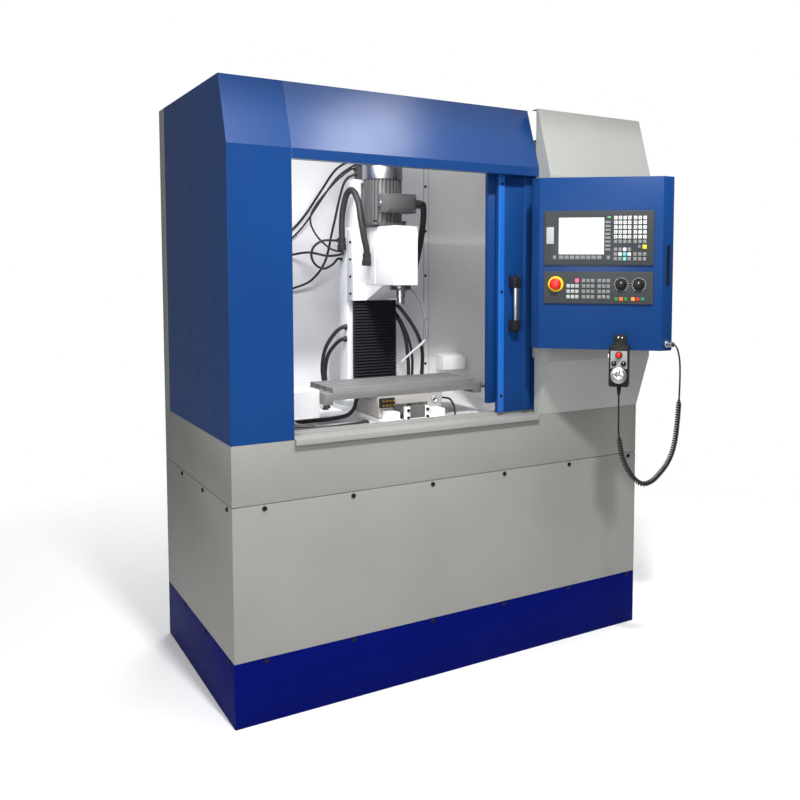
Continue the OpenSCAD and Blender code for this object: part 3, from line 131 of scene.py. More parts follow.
for lamp in (
        ("overhead_lamp", (0, -0.3, 6.0), (0, -0.3, 0), 9, 9, 240),
        ("key_lamp", (-0.7, -2.5, 3.7), (0, -0.4, 1.0), 0.2, 0.2, 115),
        ("front_lamp", (-2.3, -2.8, 1.9), (-0.1, -0.2, 1.4), 1.2, 1.2, 48),
        ("header_lamp", (0.7, -2.1, 3.8), (-0.2, -0.43, 2.05), 0.6, 0.4, 22),
        ("rear_lamp", (1.4, 3.6, 2.6), (0, 0.4, 1.1), 2, 2, 70),
        ("right_lamp", (3.8, -0.2, 2.4), (0.87, 0, 1.2), 1.5, 1.5, 26),
        ("inner_lamp", (-0.42, -0.30, 1.99), (-0.38, 0.4, 1.3), 0.4, 0.15, 5)):
    soft_lamp(*lamp)


def clear_selection():
    """Leave edit mode and select nothing."""
    if bpy.context.mode != "OBJECT":
        bpy.ops.object.mode_set(mode="OBJECT")
    bpy.ops.object.select_all(action="DESELECT")


# A flag between the key lamp and the machine keeps that lamp's light out of the open top.
clear_selection()
bpy.ops.mesh.primitive_plane_add(size=1, location=(-0.3, -1.5, 3.37), rotation=(math.radians(90), 0, 0))
flag = bpy.context.object
flag.name = "lamp_flag"
flag.scale = (3.8, 0.84, 1)
flag.visible_camera = False
flag.visible_glossy = False

clear_selection()
bpy.ops.mesh.primitive_plane_add(size=24)
floor = bpy.context.object
floor.name = "floor"
floor_paint = bpy.data.materials.new("pale_floor")
floor_paint.use_nodes = True
lay = floor_paint.node_tree
floor_shader = lay.nodes["Principled BSDF"]
floor_shader.inputs["Base Color"].default_value = (0.93, 0.93, 0.93, 1)
floor_shader.inputs["Roughness"].default_value = 0.7
floor_shader.inputs["Specular IOR Level"].default_value = 0.1
spot = shader_node(lay, "TexCoord")
away = shader_node(lay, "VectorMath")
away.operation = "LENGTH"
fade = shader_node(lay, "MapRange", From_Min=1.4, From_Max=3.2, To_Min=1, To_Max=0)
lay.links.new(spot.outputs["Object"], away.inputs[0])
lay.links.new(away.outputs["Value"], fade.inputs["Value"])
lay.links.new(fade.outputs["Result"], floor_shader.inputs["Alpha"])
floor.data.materials.append(floor_paint)


# Plinth, bolted panels and tray skirt. The stand is closed by folded sheet steel sprayed with
# powder paint, navy low down and warm grey above, and held by black button-head screws.
def powder_coat(name, colour, rough, grain, peel, gloss=0.3, coat=0.0):
    """Sprayed powder paint: faint cloudiness, fine orange peel and uneven gloss."""
    paint = bpy.data.materials.new(name)
    paint.use_nodes = True
    tree = paint.node_tree
    shader = tree.nodes["Principled BSDF"]
    place = shader_node(tree, "TexCoord")
    cloud = shader_node(tree, "TexNoise", Scale=2.3, Detail=4)
    tint = shader_node(tree, "Mix")
    tint.data_type = "RGBA"
    tint.inputs["A"].default_value = (*[c * 0.86 for c in colour], 1)
    tint.inputs["B"].default_value = (*[min(c * 1.12, 1) for c in colour], 1)
    scuff = shader_node(tree, "TexNoise", Scale=26, Detail=5)
    sheen = shader_node(tree, "MapRange", To_Min=rough - 0.06, To_Max=rough + 0.08)
    skin = shader_node(tree, "TexNoise", Scale=grain, Detail=2)
    bump = shader_node(tree, "Bump", Strength=peel, Distance=0.0006)
    for texture in (cloud, scuff, skin):
        tree.links.new(place.outputs["Object"], texture.inputs["Vector"])
    tree.links.new(cloud.outputs["Fac"], tint.inputs["Factor"])
    tree.links.new(tint.outputs["Result"], shader.inputs["Base Color"])
    tree.links.new(scuff.outputs["Fac"], sheen.inputs["Value"])
    tree.links.new(sheen.outputs["Result"], shader.inputs["Roughness"])
    tree.links.new(skin.outputs["Fac"], bump.inputs["Height"])
    tree.links.new(bump.outputs["Normal"], shader.inputs["Normal"])
    shader.inputs["Specular IOR Level"].default_value = gloss
    shader.inputs["Coat Weight"].default_value = coat
    shader.inputs["Coat Roughness"].default_value = 0.2
    return paint


def only(piece):
    """Make one piece the only selected and active one, in object mode."""
    clear_selection()
    piece.select_set(True)
    bpy.context.view_layer.objects.active = piece


def round_edges(piece, width, segments=2):
    """Bevel the sharp edges, as rolled sheet, castings and mouldings have them."""
    only(piece)
    edge = piece.modifiers.new("edge", "BEVEL")
    edge.width = width
    edge.segments = segments
    edge.limit_method = "ANGLE"
    edge.angle_limit = math.radians(35)
    edge.use_clamp_overlap = True
    bpy.ops.object.modifier_apply(modifier="edge")


def settle(piece, material, body, slot, *stands_for, smooth=35):
    """Smooth a piece below an angle, give it its finish and fix it to its body."""
    only(piece)
    bpy.ops.object.shade_smooth_by_angle(angle=math.radians(smooth))
    piece.data.materials.clear()
    piece.data.materials.append(material)
    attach(piece, body)
    for node in stands_for:
        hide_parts(node)
    return piece


finish_of = {part["node"]: part["material_slot"] for part in frame["record"]["subparts"]}


def soft_edged(node, material, width, segments=2, smooth=35):
    """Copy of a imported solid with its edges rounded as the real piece's are."""
    piece = bpy.data.objects.new(node + "_finished", nodes[node].data.copy())
    scene.collection.objects.link(piece)
    only(piece)
    bpy.ops.object.mode_set(mode="EDIT")
    bpy.ops.mesh.select_all(action="SELECT")
    bpy.ops.mesh.remove_doubles(threshold=0.00002)
    bpy.ops.mesh.dissolve_limited(angle_limit=math.radians(0.5))
    round_edges(piece, width, segments)
    return settle(piece, material, nodes[node]["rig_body"], finish_of[node], node, smooth=smooth)


def drum(name, radius, length, base, axis, sides=32):
    """New round bar that stands on a point along an axis."""
    clear_selection()
    way = Vector(axis).normalized()
    turn = Vector((0, 0, 1)).rotation_difference(way).to_euler()
    bpy.ops.mesh.primitive_cylinder_add(vertices=sides, radius=radius, depth=length,
                                        location=Vector(base) + way * length / 2, rotation=turn)
    bpy.ops.object.transform_apply(location=True, rotation=True, scale=True)
    bpy.context.object.name = name
    return bpy.context.object


def pick(piece, facing):
    """Select the outermost faces that look one way, in edit mode."""
    bpy.ops.object.mode_set(mode="OBJECT")
    way = Vector(facing).normalized()
    mesh = piece.data
    far = max(face.center.dot(way) for face in mesh.polygons if face.normal.dot(way) > 0.9)
    for part in list(mesh.vertices) + list(mesh.edges):
        part.select = False
    for face in mesh.polygons:
        face.select = face.normal.dot(way) > 0.9 and face.center.dot(way) > far - 1e-5
    bpy.ops.object.mode_set(mode="EDIT")
    bpy.ops.mesh.select_mode(type="FACE")


def step_in(piece, facing, thickness, depth=0.0):
    """Inset the outermost faces that look one way, and raise or sink them."""
    pick(piece, facing)
    bpy.ops.mesh.inset(thickness=thickness, depth=depth)


def pull(move):
    """Extrude the selected faces by a move."""
    bpy.ops.mesh.extrude_region_move(TRANSFORM_OT_translate={"value": move})


def set_out(master, places):
    """Copies of a piece made at the origin, one at each place, kept as one piece."""
    only(master)
    for place in places[1:]:
        twin = master.copy()
        twin.data = master.data.copy()
        twin.data.transform(place)
        scene.collection.objects.link(twin)
        twin.select_set(True)
    master.data.transform(places[0])
    bpy.ops.object.join()
    return master


def button_screw(name, radius):
    """Button-head screw at the origin, pointing up: domed head with a hexagon socket."""
    head = drum(name, radius, radius * 0.45, (0, 0, 0), (0, 0, 1), 24)
    step_in(head, (0, 0, 1), radius * 0.22, radius * 0.14)
    bpy.ops.mesh.inset(thickness=radius * 0.3, depth=radius * 0.04)
    bpy.ops.mesh.inset(thickness=radius * 0.02, depth=-radius * 0.3)
    return head


def turned(axis, place):
    """Place for a piece made pointing up, turned to point along an axis."""
    turn = Vector((0, 0, 1)).rotation_difference(Vector(axis).normalized())
    return Matrix.Translation(place) @ turn.to_matrix().to_4x4()


navy = powder_coat("navy_powder_coat", (0.0006, 0.0035, 0.10), 0.55, 520, 0.10, 0.03)
grey = powder_coat("grey_powder_coat", (0.258, 0.256, 0.238), 0.55, 700, 0.22, 0.2)
blackened = powder_coat("blackened_steel", (0.01, 0.01, 0.011), 0.5, 900, 0.1, 0.15)
soft_edged("base_plinth", navy, 0.002)
soft_edged("lower_panels", grey, 0.0012)
soft_edged("tray_skirt", grey, 0.0015)
soft_edged("stand_frame", blackened, 0.002)

half_width, half_depth = 0.87, 0.47
screw_rows = []
for z in (0.735, 0.214):
    for i in range(6):
        screw_rows.append(turned((0, -1, 0), (-0.762 + 0.318 * i, -half_depth, z)))
        screw_rows.append(turned((0, 1, 0), (0.762 - 0.318 * i, half_depth, z)))
    for i in range(3):
        screw_rows.append(turned((-1, 0, 0), (-half_width, -0.417 + 0.305 * i, z)))
        screw_rows.append(turned((1, 0, 0), (half_width, -0.417 + 0.305 * i, z)))
panel_screws = set_out(button_screw("panel_screws", 0.008), screw_rows)
settle(panel_screws, blackened, "frame", "bolt_black", "panel_bolts")


# Upper covers. Folded sheet steel: the left cover and the header are royal blue gloss, the cabinet
# front and the right wall light grey, and the rear wall warm grey. Formed hoods keep dust out of
# the rear wall's air slots.
blue = powder_coat("royal_blue_powder_coat", (0.005, 0.042, 0.168), 0.36, 300, 0.28, 0.15, 0.06)
header_blue = powder_coat("header_blue_powder_coat", (0.005, 0.042, 0.168), 0.32, 300, 0.3, 0.3, 0.35)
light_grey = powder_coat("light_grey_powder_coat", (0.37, 0.375, 0.355), 0.5, 700, 0.2, 0.2)
soft_edged("left_cover", blue, 0.0014, smooth=10)
soft_edged("header_cover", header_blue, 0.0014, smooth=10)
soft_edged("cabinet_front", light_grey, 0.0014, smooth=10)
soft_edged("right_cover", light_grey, 0.0014, smooth=10)
soft_edged("rear_cover", grey, 0.0012)


def block(name, low, high):
    """New block between two corners."""
    clear_selection()
    bpy.ops.mesh.primitive_cube_add(size=1, location=[(a + b) / 2 for a, b in zip(low, high)])
    bpy.context.object.scale = [b - a for a, b in zip(low, high)]
    bpy.ops.object.transform_apply(location=True, rotation=True, scale=True)
    bpy.context.object.name = name
    return bpy.context.object


hood = block("louvre_hoods", (-0.072, 0, 0.003), (0.072, 0.0045, 0.017))
step_in(hood, (0, 1, 0), 0.002)
bpy.ops.transform.resize(value=(0.94, 1, 0.6))
bpy.ops.transform.translate(value=(0, 0.0005, -0.002))
round_edges(hood, 0.001)
slots = [(x, i) for x in (-0.435, 0.435) for i in range(8)]
hood_places = [Matrix.Translation((x, half_depth + 0.0001, 1.870 - 0.024 * i)) for x, i in slots]
settle(set_out(hood, hood_places), grey, "frame", "grey_paint")


# Sliding door. Two blue folded leaves with clear panes run on the ribs of the sill and hang in a
# double steel rail. The front leaf has a screwed edge strip, whose lighter azure is painted light,
# and a folded stile beside its handle.
def clear_sheet(name, colour):
    """Clear polycarbonate with faint swirl marks."""
    pane = bpy.data.materials.new(name)
    pane.use_nodes = True
    tree = pane.node_tree
    shader = tree.nodes["Principled BSDF"]
    shader.inputs["Base Color"].default_value = (*colour, 1)
    shader.inputs["Transmission Weight"].default_value = 1
    shader.inputs["IOR"].default_value = 1.5
    place = shader_node(tree, "TexCoord")
    swirl = shader_node(tree, "TexNoise", Scale=60)
    haze = shader_node(tree, "MapRange", To_Min=0.02, To_Max=0.1)
    tree.links.new(place.outputs["Object"], swirl.inputs["Vector"])
    tree.links.new(swirl.outputs["Fac"], haze.inputs["Value"])
    tree.links.new(haze.outputs["Result"], shader.inputs["Roughness"])
    return pane


def bare_metal(name, colour, rough, stretch, grain=0.1, metal=1.0):
    """Drawn, turned or ground metal: long fine grain along one axis."""
    bare = bpy.data.materials.new(name)
    bare.use_nodes = True
    tree = bare.node_tree
    shader = tree.nodes["Principled BSDF"]
    shader.inputs["Metallic"].default_value = metal
    place = shader_node(tree, "TexCoord")
    lay = shader_node(tree, "Mapping", Scale=stretch)
    streak = shader_node(tree, "TexNoise", Scale=1, Detail=4)
    tint = shader_node(tree, "Mix")
    tint.data_type = "RGBA"
    tint.inputs["A"].default_value = (*[c * 0.75 for c in colour], 1)
    tint.inputs["B"].default_value = (*colour, 1)
    sheen = shader_node(tree, "MapRange", To_Min=rough - 0.07, To_Max=rough + 0.1)
    bump = shader_node(tree, "Bump", Strength=grain, Distance=0.0003)
    tree.links.new(place.outputs["Object"], lay.inputs["Vector"])
    tree.links.new(lay.outputs["Vector"], streak.inputs["Vector"])
    tree.links.new(streak.outputs["Fac"], tint.inputs["Factor"])
    tree.links.new(tint.outputs["Result"], shader.inputs["Base Color"])
    tree.links.new(streak.outputs["Fac"], sheen.inputs["Value"])
    tree.links.new(sheen.outputs["Result"], shader.inputs["Roughness"])
    tree.links.new(streak.outputs["Fac"], bump.inputs["Height"])
    tree.links.new(bump.outputs["Normal"], shader.inputs["Normal"])
    return bare


def finish_node(material, *names):
    """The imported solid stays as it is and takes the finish."""
    for name in names:
        nodes[name].data.materials.clear()
        nodes[name].data.materials.append(material)


door_pane = clear_sheet("door_polycarbonate", (0.93, 0.96, 0.97))
drawn_steel = bare_metal("drawn_steel", (0.5, 0.5, 0.51), 0.35, (4, 300, 300))
sill_paint = powder_coat("sill_paint", (0.29, 0.29, 0.275), 0.5, 600, 0.1, 0.2)
# The edge strip's brighter azure is a lit copy of the door blue: painted light on the leaf's edge.
lit_edge_blue = powder_coat("edge_blue_painted_light", (0.012, 0.13, 0.50), 0.3, 480, 0.06, 0.4, 0.3)
soft_edged("front_door_leaf", blue, 0.0009)
soft_edged("rear_door_leaf", blue, 0.0009)
soft_edged("door_sill", sill_paint, 0.0008)
soft_edged("door_rail", drawn_steel, 0.0006)
finish_node(door_pane, "front_door_window", "rear_door_window")

leaf_face, leaf_low, leaf_high = -0.422, 0.971, 1.928
strip_front = leaf_face - 0.004
strip = block("edge_strip", (0.190, strip_front, leaf_low), (0.216, leaf_face, leaf_high))
round_edges(strip, 0.0014, 3)
settle(strip, lit_edge_blue, "front_door", "blue_paint")
stile = block("folded_stile", (0.304, leaf_face - 0.009, leaf_low), (0.345, leaf_face, leaf_high))
pick(stile, (0, -1, 0))
bpy.ops.transform.resize(value=(0.7, 1, 1))
round_edges(stile, 0.002, 3)
settle(stile, blue, "front_door", "blue_paint")
strip_screws = [turned((0, -1, 0), (0.203, strip_front, z)) for z in (1.035, 1.445, 1.862)]
settle(set_out(button_screw("strip_screws", 0.0055), strip_screws), blackened, "front_door", "bolt_black")


# Door handle. An aluminium bar between two black moulded brackets that are screwed to the leaf
# from behind.
handle_plastic = powder_coat("handle_plastic", (0.012, 0.012, 0.013), 0.45, 1500, 0.2)
handle_bar = bare_metal("anodised_bar", (0.62, 0.63, 0.64), 0.34, (300, 300, 5))
for name, low, high, lean in (
        ("lower_bracket", 1.287, 1.333, 0.014), ("upper_bracket", 1.463, 1.509, -0.014)):
    bracket = block(name, (0.237, leaf_face - 0.022, low), (0.271, leaf_face, high))
    pick(bracket, (0, -1, 0))
    pull((0, -0.022, lean * 0.5))
    bpy.ops.transform.resize(value=(0.9, 1, 0.8))
    round_edges(bracket, 0.003, 3)
    settle(bracket, handle_plastic, "front_door", "black_plastic", "door_handle")
bar_x, bar_y, bar_low, bar_length = 0.254, -0.4535, 1.323, 0.150
bar = drum("handle_bar", 0.0105, bar_length, (bar_x, bar_y, bar_low), (0, 0, 1), 40)
bpy.ops.object.mode_set(mode="EDIT")
bpy.ops.mesh.select_all(action="SELECT")
bar_middle = (bar_x, bar_y, bar_low + bar_length / 2)
bpy.ops.transform.resize(value=(1.15, 0.9, 1), center_override=bar_middle)
for end in ((0, 0, 1), (0, 0, -1)):
    step_in(bar, end, 0.002, 0.0015)
round_edges(bar, 0.0005)
settle(bar, handle_bar, "front_door", "dial_metal", "door_handle")


# Inside of the enclosure. White painted sheets behind the machine with a lapped joint, screwed, with
# thin dark lines of painted shade along the lap's edges, a white pan below, and a small box with a
# sloping lid on the back wall.
white = powder_coat("white_powder_coat", (0.85, 0.845, 0.855), 0.45, 600, 0.12)
soft_edged("back_liner", white, 0.0008)
soft_edged("chip_tray", white, 0.0008)
soft_edged("wall_box", white, 0.002)
# Thin dark grey strips along both edges of the lap are painted shade at the joint's steps.
joint_shade = powder_coat("lap_edge_painted_shade", (0.30, 0.30, 0.31), 0.6, 300, 0.1)
edge_shade = block("lap_edge_shade_lines", (0.3035, 0.4085, 0.96), (0.3060, 0.4105, 2.10))
pick(edge_shade, (0, -1, 0))
bpy.ops.transform.resize(value=(0.3, 1, 1))
edge_shade_places = [Matrix.Identity(4), Matrix.Translation((0.0272, 0, 0))]
settle(set_out(edge_shade, edge_shade_places), joint_shade, "frame", "white_paint")
lap_screws = [turned((0, -1, 0), (0.312, 0.407, z)) for z in (1.08, 1.29, 1.50, 1.71, 1.92)]
settle(set_out(button_screw("liner_screws", 0.006), lap_screws), blackened, "frame", "bolt_black")


# Castings. Bed, column and head are iron castings filled and painted white, the saddle's warm grey
# is painted shade, and the table is ground iron with T-slots. The pocket in the bed's end is painted
# dark as shade in its recess. Cap screws hold the slide, the column's foot and the ears of the bed's end.
cast_white = powder_coat("painted_casting", (0.85, 0.85, 0.86), 0.45, 180, 0.25)
ground_iron = bare_metal("ground_iron", (0.31, 0.305, 0.305), 0.5, (6, 220, 220), 0.08, 0.4)
turned_steel = bare_metal("turned_steel", (0.6, 0.6, 0.61), 0.28, (260, 260, 260), 0.08)
# The saddle's warm grey stands for the shade it lies in under the table: painted shade.
saddle_painted_shade = powder_coat("saddle_painted_shade", (0.40, 0.385, 0.365), 0.5, 180, 0.25)
mill_x, bed_front = -0.115, -0.330
pocket_half, pocket_low, pocket_lip, pocket_deep = 0.0325, 0.94, 0.0035, 0.013
bed = soft_edged("bed", cast_white, 0.003)
# Dark paint on the faces inside the bed's end pocket: painted shade in the recess.
pocket_shade = powder_coat("pocket_painted_shade", (0.11, 0.11, 0.108), 0.6, 180, 0.3)
bed.data.materials.append(pocket_shade)
for face in bed.data.polygons:
    spot = face.center
    inside = pocket_lip < spot.y - bed_front < pocket_deep and abs(spot.x - mill_x) < pocket_half
    if inside and spot.z > pocket_low:
        face.material_index = 1
soft_edged("column", cast_white, 0.004)
soft_edged("saddle", saddle_painted_shade, 0.003)
soft_edged("head_casting", cast_white, 0.003)
soft_edged("head_cover", white, 0.002)
soft_edged("table", ground_iron, 0.0012)
soft_edged("x_motor_cover", white, 0.002)
finish_node(turned_steel, "x_screw", "y_screw", "z_screw", "spindle_shaft", "motor_pulley")
soft_edged("tool_holder", turned_steel, 0.0006)

seam = block("cover_flange", (-0.1684, -0.066, 1.471), (-0.1668, -0.056, 1.697))
step_in(seam, (-1, 0, 0), 0.0015)
bpy.ops.transform.translate(value=(-0.0008, 0, 0))
settle(seam, white, "head_body", "white_paint")


def cap_screw(name, radius):
    """Socket cap screw at the origin, pointing up."""
    head = drum(name, radius, radius * 1.1, (0, 0, 0), (0, 0, 1), 20)
    step_in(head, (0, 0, 1), radius * 0.12, radius * 0.1)
    bpy.ops.mesh.inset(thickness=radius * 0.32)
    bpy.ops.mesh.inset(thickness=radius * 0.01, depth=-radius * 0.6)
    return head


ear_places = [turned((0, -1, 0), (mill_x + x, bed_front, z))
              for x in (-0.041, 0.041) for z in (0.966, 0.994)]
settle(set_out(cap_screw("bed_end_screws", 0.0055), ear_places), blackened, "frame", "bolt_black")
slide_places = [turned((-1, 0, 0), (-0.2233, 0.049, z)) for z in (1.43, 1.50, 1.57, 1.64)]
settle(set_out(cap_screw("slide_screws", 0.005), slide_places), blackened, "head_body", "bolt_black")
foot_places = [turned((0, 0, 1), (mill_x + x, y, 1.020))
               for x in (-0.119, 0.119) for y in (0.12, 0.2, 0.26)]
settle(set_out(cap_screw("column_screws", 0.007), foot_places), blackened, "frame", "bolt_black")


# Saddle fittings. A black moulded oil distributor with turned brass unions is screwed to the front
# left of the saddle, and a bright steel plug closes the bore of its screw at the front right.
brass = bare_metal("brass", (0.72, 0.5, 0.18), 0.3, (200, 200, 200))
rubber = powder_coat("black_rubber", (0.012, 0.012, 0.013), 0.6, 1400, 0.2)
distributor = block("oil_distributor", (-0.250, -0.286, 1.004), (-0.190, -0.2702, 1.040))
step_in(distributor, (0, -1, 0), 0.003, 0.002)
round_edges(distributor, 0.001)
settle(distributor, rubber, "saddle_body", "black_rubber")
union = drum("oil_unions", 0.0042, 0.006, (0, 0, 0), (0, 0, 1), 6)
step_in(union, (0, 0, 1), 0.0012)
pull((0, 0, 0.007))
bpy.ops.mesh.inset(thickness=0.0008, depth=-0.003)
round_edges(union, 0.0003)
union_places = [turned((0, -1, 0), (x, -0.288, z))
                for x in (-0.241, -0.227, -0.213, -0.199) for z in (1.014, 1.030)]
settle(set_out(union, union_places), brass, "saddle_body", "bright_steel")

boss = drum("saddle_boss", 0.012, 0.006, (-0.012, -0.2701, 1.020), (0, -1, 0), 32)
step_in(boss, (0, -1, 0), 0.003, 0.002)
bpy.ops.mesh.inset(thickness=0.003, depth=-0.003)
round_edges(boss, 0.0006)
settle(boss, turned_steel, "saddle_body", "bright_steel")


# Motors. The spindle motor has a dark finned barrel on a square flange, a terminal box with a
# screwed lid and a pressed bright fan cowl; the axis motors are plain dark servo motors. The
# spindle's nose is dark steel.
motor_paint = powder_coat("motor_paint", (0.085, 0.085, 0.088), 0.42, 300, 0.2)
cowl_metal = bare_metal("pressed_cowl", (0.55, 0.55, 0.56), 0.35, (80, 80, 6))
motor = soft_edged("spindle_motor", motor_paint, 0.001)
motor.data.materials.append(cowl_metal)
cowl_low = 1.889
for face in motor.data.polygons:
    if face.center.z > cowl_low:
        face.material_index = 1
soft_edged("axis_motors", motor_paint, 0.002)
nose_steel = bare_metal("spindle_nose", (0.2, 0.2, 0.21), 0.35, (90, 90, 6))
soft_edged("spindle_cartridge", nose_steel, 0.001)

lid_front = -0.139
lid = block("terminal_lid", (-0.153, lid_front, 1.759), (-0.023, lid_front + 0.004, 1.826))
step_in(lid, (0, -1, 0), 0.008)
pull((0, -0.0025, 0))
round_edges(lid, 0.0012)
settle(lid, motor_paint, "head_body", "motor_paint")
lid_screws = [turned((0, -1, 0), (x, lid_front, z))
              for x in (-0.1485, -0.0275) for z in (1.7635, 1.8215)]
settle(set_out(button_screw("lid_screws", 0.0032), lid_screws), cowl_metal, "head_body", "bright_steel")

plug = drum("gland_plug", 0.015, 0.005, (-0.157, -0.092, 1.792), (-1, 0, 0))
step_in(plug, (-1, 0, 0), 0.003, 0.002)
bpy.ops.mesh.inset(thickness=0.005, depth=-0.0015)
round_edges(plug, 0.0006)
settle(plug, cowl_metal, "head_body", "bright_steel")

flange_bolt = drum("flange_bolts", 0.0085, 0.007, (0, 0, 0), (0, 0, 1), 6)
step_in(flange_bolt, (0, 0, 1), 0.0014, 0.0007)
round_edges(flange_bolt, 0.0005)
motor_y, flange_top, bolt_out = -0.025, 1.717, 0.064
bolt_places = [Matrix.Translation((mill_x + x, motor_y + y, flange_top))
               for x in (-bolt_out, bolt_out) for y in (-bolt_out, bolt_out)]
settle(set_out(flange_bolt, bolt_places), blackened, "head_body", "bolt_black")


# Way cover. Black coated cloth folded into pleats, fixed under the head and on the column's
# foot. The drive belt has the same black finish.
bellows_cloth = powder_coat("bellows_cloth", (0.012, 0.013, 0.018), 0.62, 1400, 0.2)
bellows = soft_edged("bellows", bellows_cloth, 0.0006)
low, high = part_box("bellows")
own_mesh(bellows)
finish_node(bellows_cloth, "drive_belt")


# Conduits and cables. Ribbed black plastic conduits loop from the column to the head and its motor.
# Plain cables run between hexagon glands on column, inner wall and pan, hoses lie in the pan, and
# the coolant hose ends in a pale nozzle.
def smooth_line(points, steps):
    """Points of a smooth line through the route's points."""
    line = []
    last = len(points) - 1
    for i in range(last):
        a, b = Vector(points[max(0, i - 1)]), Vector(points[i])
        c, d = Vector(points[i + 1]), Vector(points[min(last, i + 2)])
        for k in range(steps):
            t = k / steps
            line.append(0.5 * (2 * b + (c - a) * t + (2 * a - 5 * b + 4 * c - d) * t * t
                               + (3 * b - a - 3 * c + d) * t * t * t))
    line.append(Vector(points[last]))
    return line


def strand(name, line, radii, sides):
    """Round cord as a curve along a line, with its own radius at each point and closed ends."""
    curve = bpy.data.curves.new(name, "CURVE")
    curve.dimensions = "3D"
    curve.bevel_depth = 1
    curve.bevel_resolution = sides // 2 - 2
    curve.use_fill_caps = True
    run = curve.splines.new("POLY")
    run.points.add(len(line) - 1)
    for point, place, radius in zip(run.points, line, radii):
        point.co = (*place, 1)
        point.radius = radius
    cord = bpy.data.objects.new(name, curve)
    scene.collection.objects.link(cord)
    return cord


def swept_tube(name, line, radii, sides=20):
    """The same cord made a closed mesh, for cables that are held at both ends."""
    piece = strand(name, line, radii, sides)
    only(piece)
    bpy.ops.object.convert(target="MESH")
    piece = bpy.context.object
    bpy.ops.object.mode_set(mode="EDIT")
    bpy.ops.mesh.select_all(action="SELECT")
    bpy.ops.mesh.remove_doubles(threshold=1e-6)
    bpy.ops.mesh.normals_make_consistent(inside=False)
    bpy.ops.object.mode_set(mode="OBJECT")
    bpy.ops.object.shade_smooth_by_angle(angle=math.radians(50))
    return piece


def spaced(line, step):
    """The same line with points at an even spacing."""
    found = [line[0]]
    need = step
    for a, b in zip(line, line[1:]):
        gone = 0.0
        length = (b - a).length
        while length - gone >= need:
            gone += need
            found.append(a + (b - a) * (gone / length))
            need = step
        need -= length - gone
    found.append(line[-1])
    return found


conduit_plastic = powder_coat("conduit_plastic", (0.028, 0.028, 0.03), 0.42, 1400, 0.15)
hose_plastic = powder_coat("hose_plastic", (0.20, 0.20, 0.21), 0.35, 900, 0.1)
nozzle_plastic = powder_coat("nozzle_plastic", (0.62, 0.62, 0.63), 0.35, 900, 0.1)


def ribbed_conduit(name, route, ends):
    """Corrugated conduit with a smooth two-step fitting at the ends named."""
    step, nut_length, fitting_length = 0.0016, 0.024, 0.052
    line = spaced(smooth_line(route, 12), step)
    last = len(line) - 1
    radii = []
    for i in range(last + 1):
        from_start = i * step if "start" in ends else 1.0
        from_end = (last - i) * step if "end" in ends else 1.0
        near = min(from_start, from_end)
        if near < nut_length:
            radii.append(0.018)
        elif near < fitting_length:
            radii.append(0.016)
        else:
            radii.append(0.013 - 0.0011 * (1 - math.cos(math.pi * i / 2)) / 2)
    tube = swept_tube(name, line, radii)
    tube.data.materials.append(conduit_plastic)
    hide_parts("head_conduits")
    return tube


left_conduit = ribbed_conduit("left_conduit", [
    (-0.2383, 0.105, 1.608), (-0.2383, 0.105, 1.660), (-0.238, 0.098, 1.755), (-0.232, 0.068, 1.832),
    (-0.222, 0.030, 1.848), (-0.213, -0.005, 1.800), (-0.210, -0.024, 1.730), (-0.200, -0.028, 1.665),
    (-0.186, -0.024, 1.605), (-0.1853, -0.018, 1.545)], ("start", "end"))
motor_conduit = ribbed_conduit("motor_conduit", [
    (-0.0187, -0.118, 1.793), (0.006, -0.118, 1.793), (0.024, -0.108, 1.789), (0.044, -0.080, 1.762),
    (0.057, -0.045, 1.700), (0.064, -0.010, 1.635), (0.068, 0.030, 1.565), (0.066, 0.075, 1.495),
    (0.054, 0.108, 1.450), (0.028, 0.124, 1.430), (0.008, 0.126, 1.426),
    (-0.0097, 0.126, 1.426)], ("start",))
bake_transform(left_conduit)
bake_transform(motor_conduit)

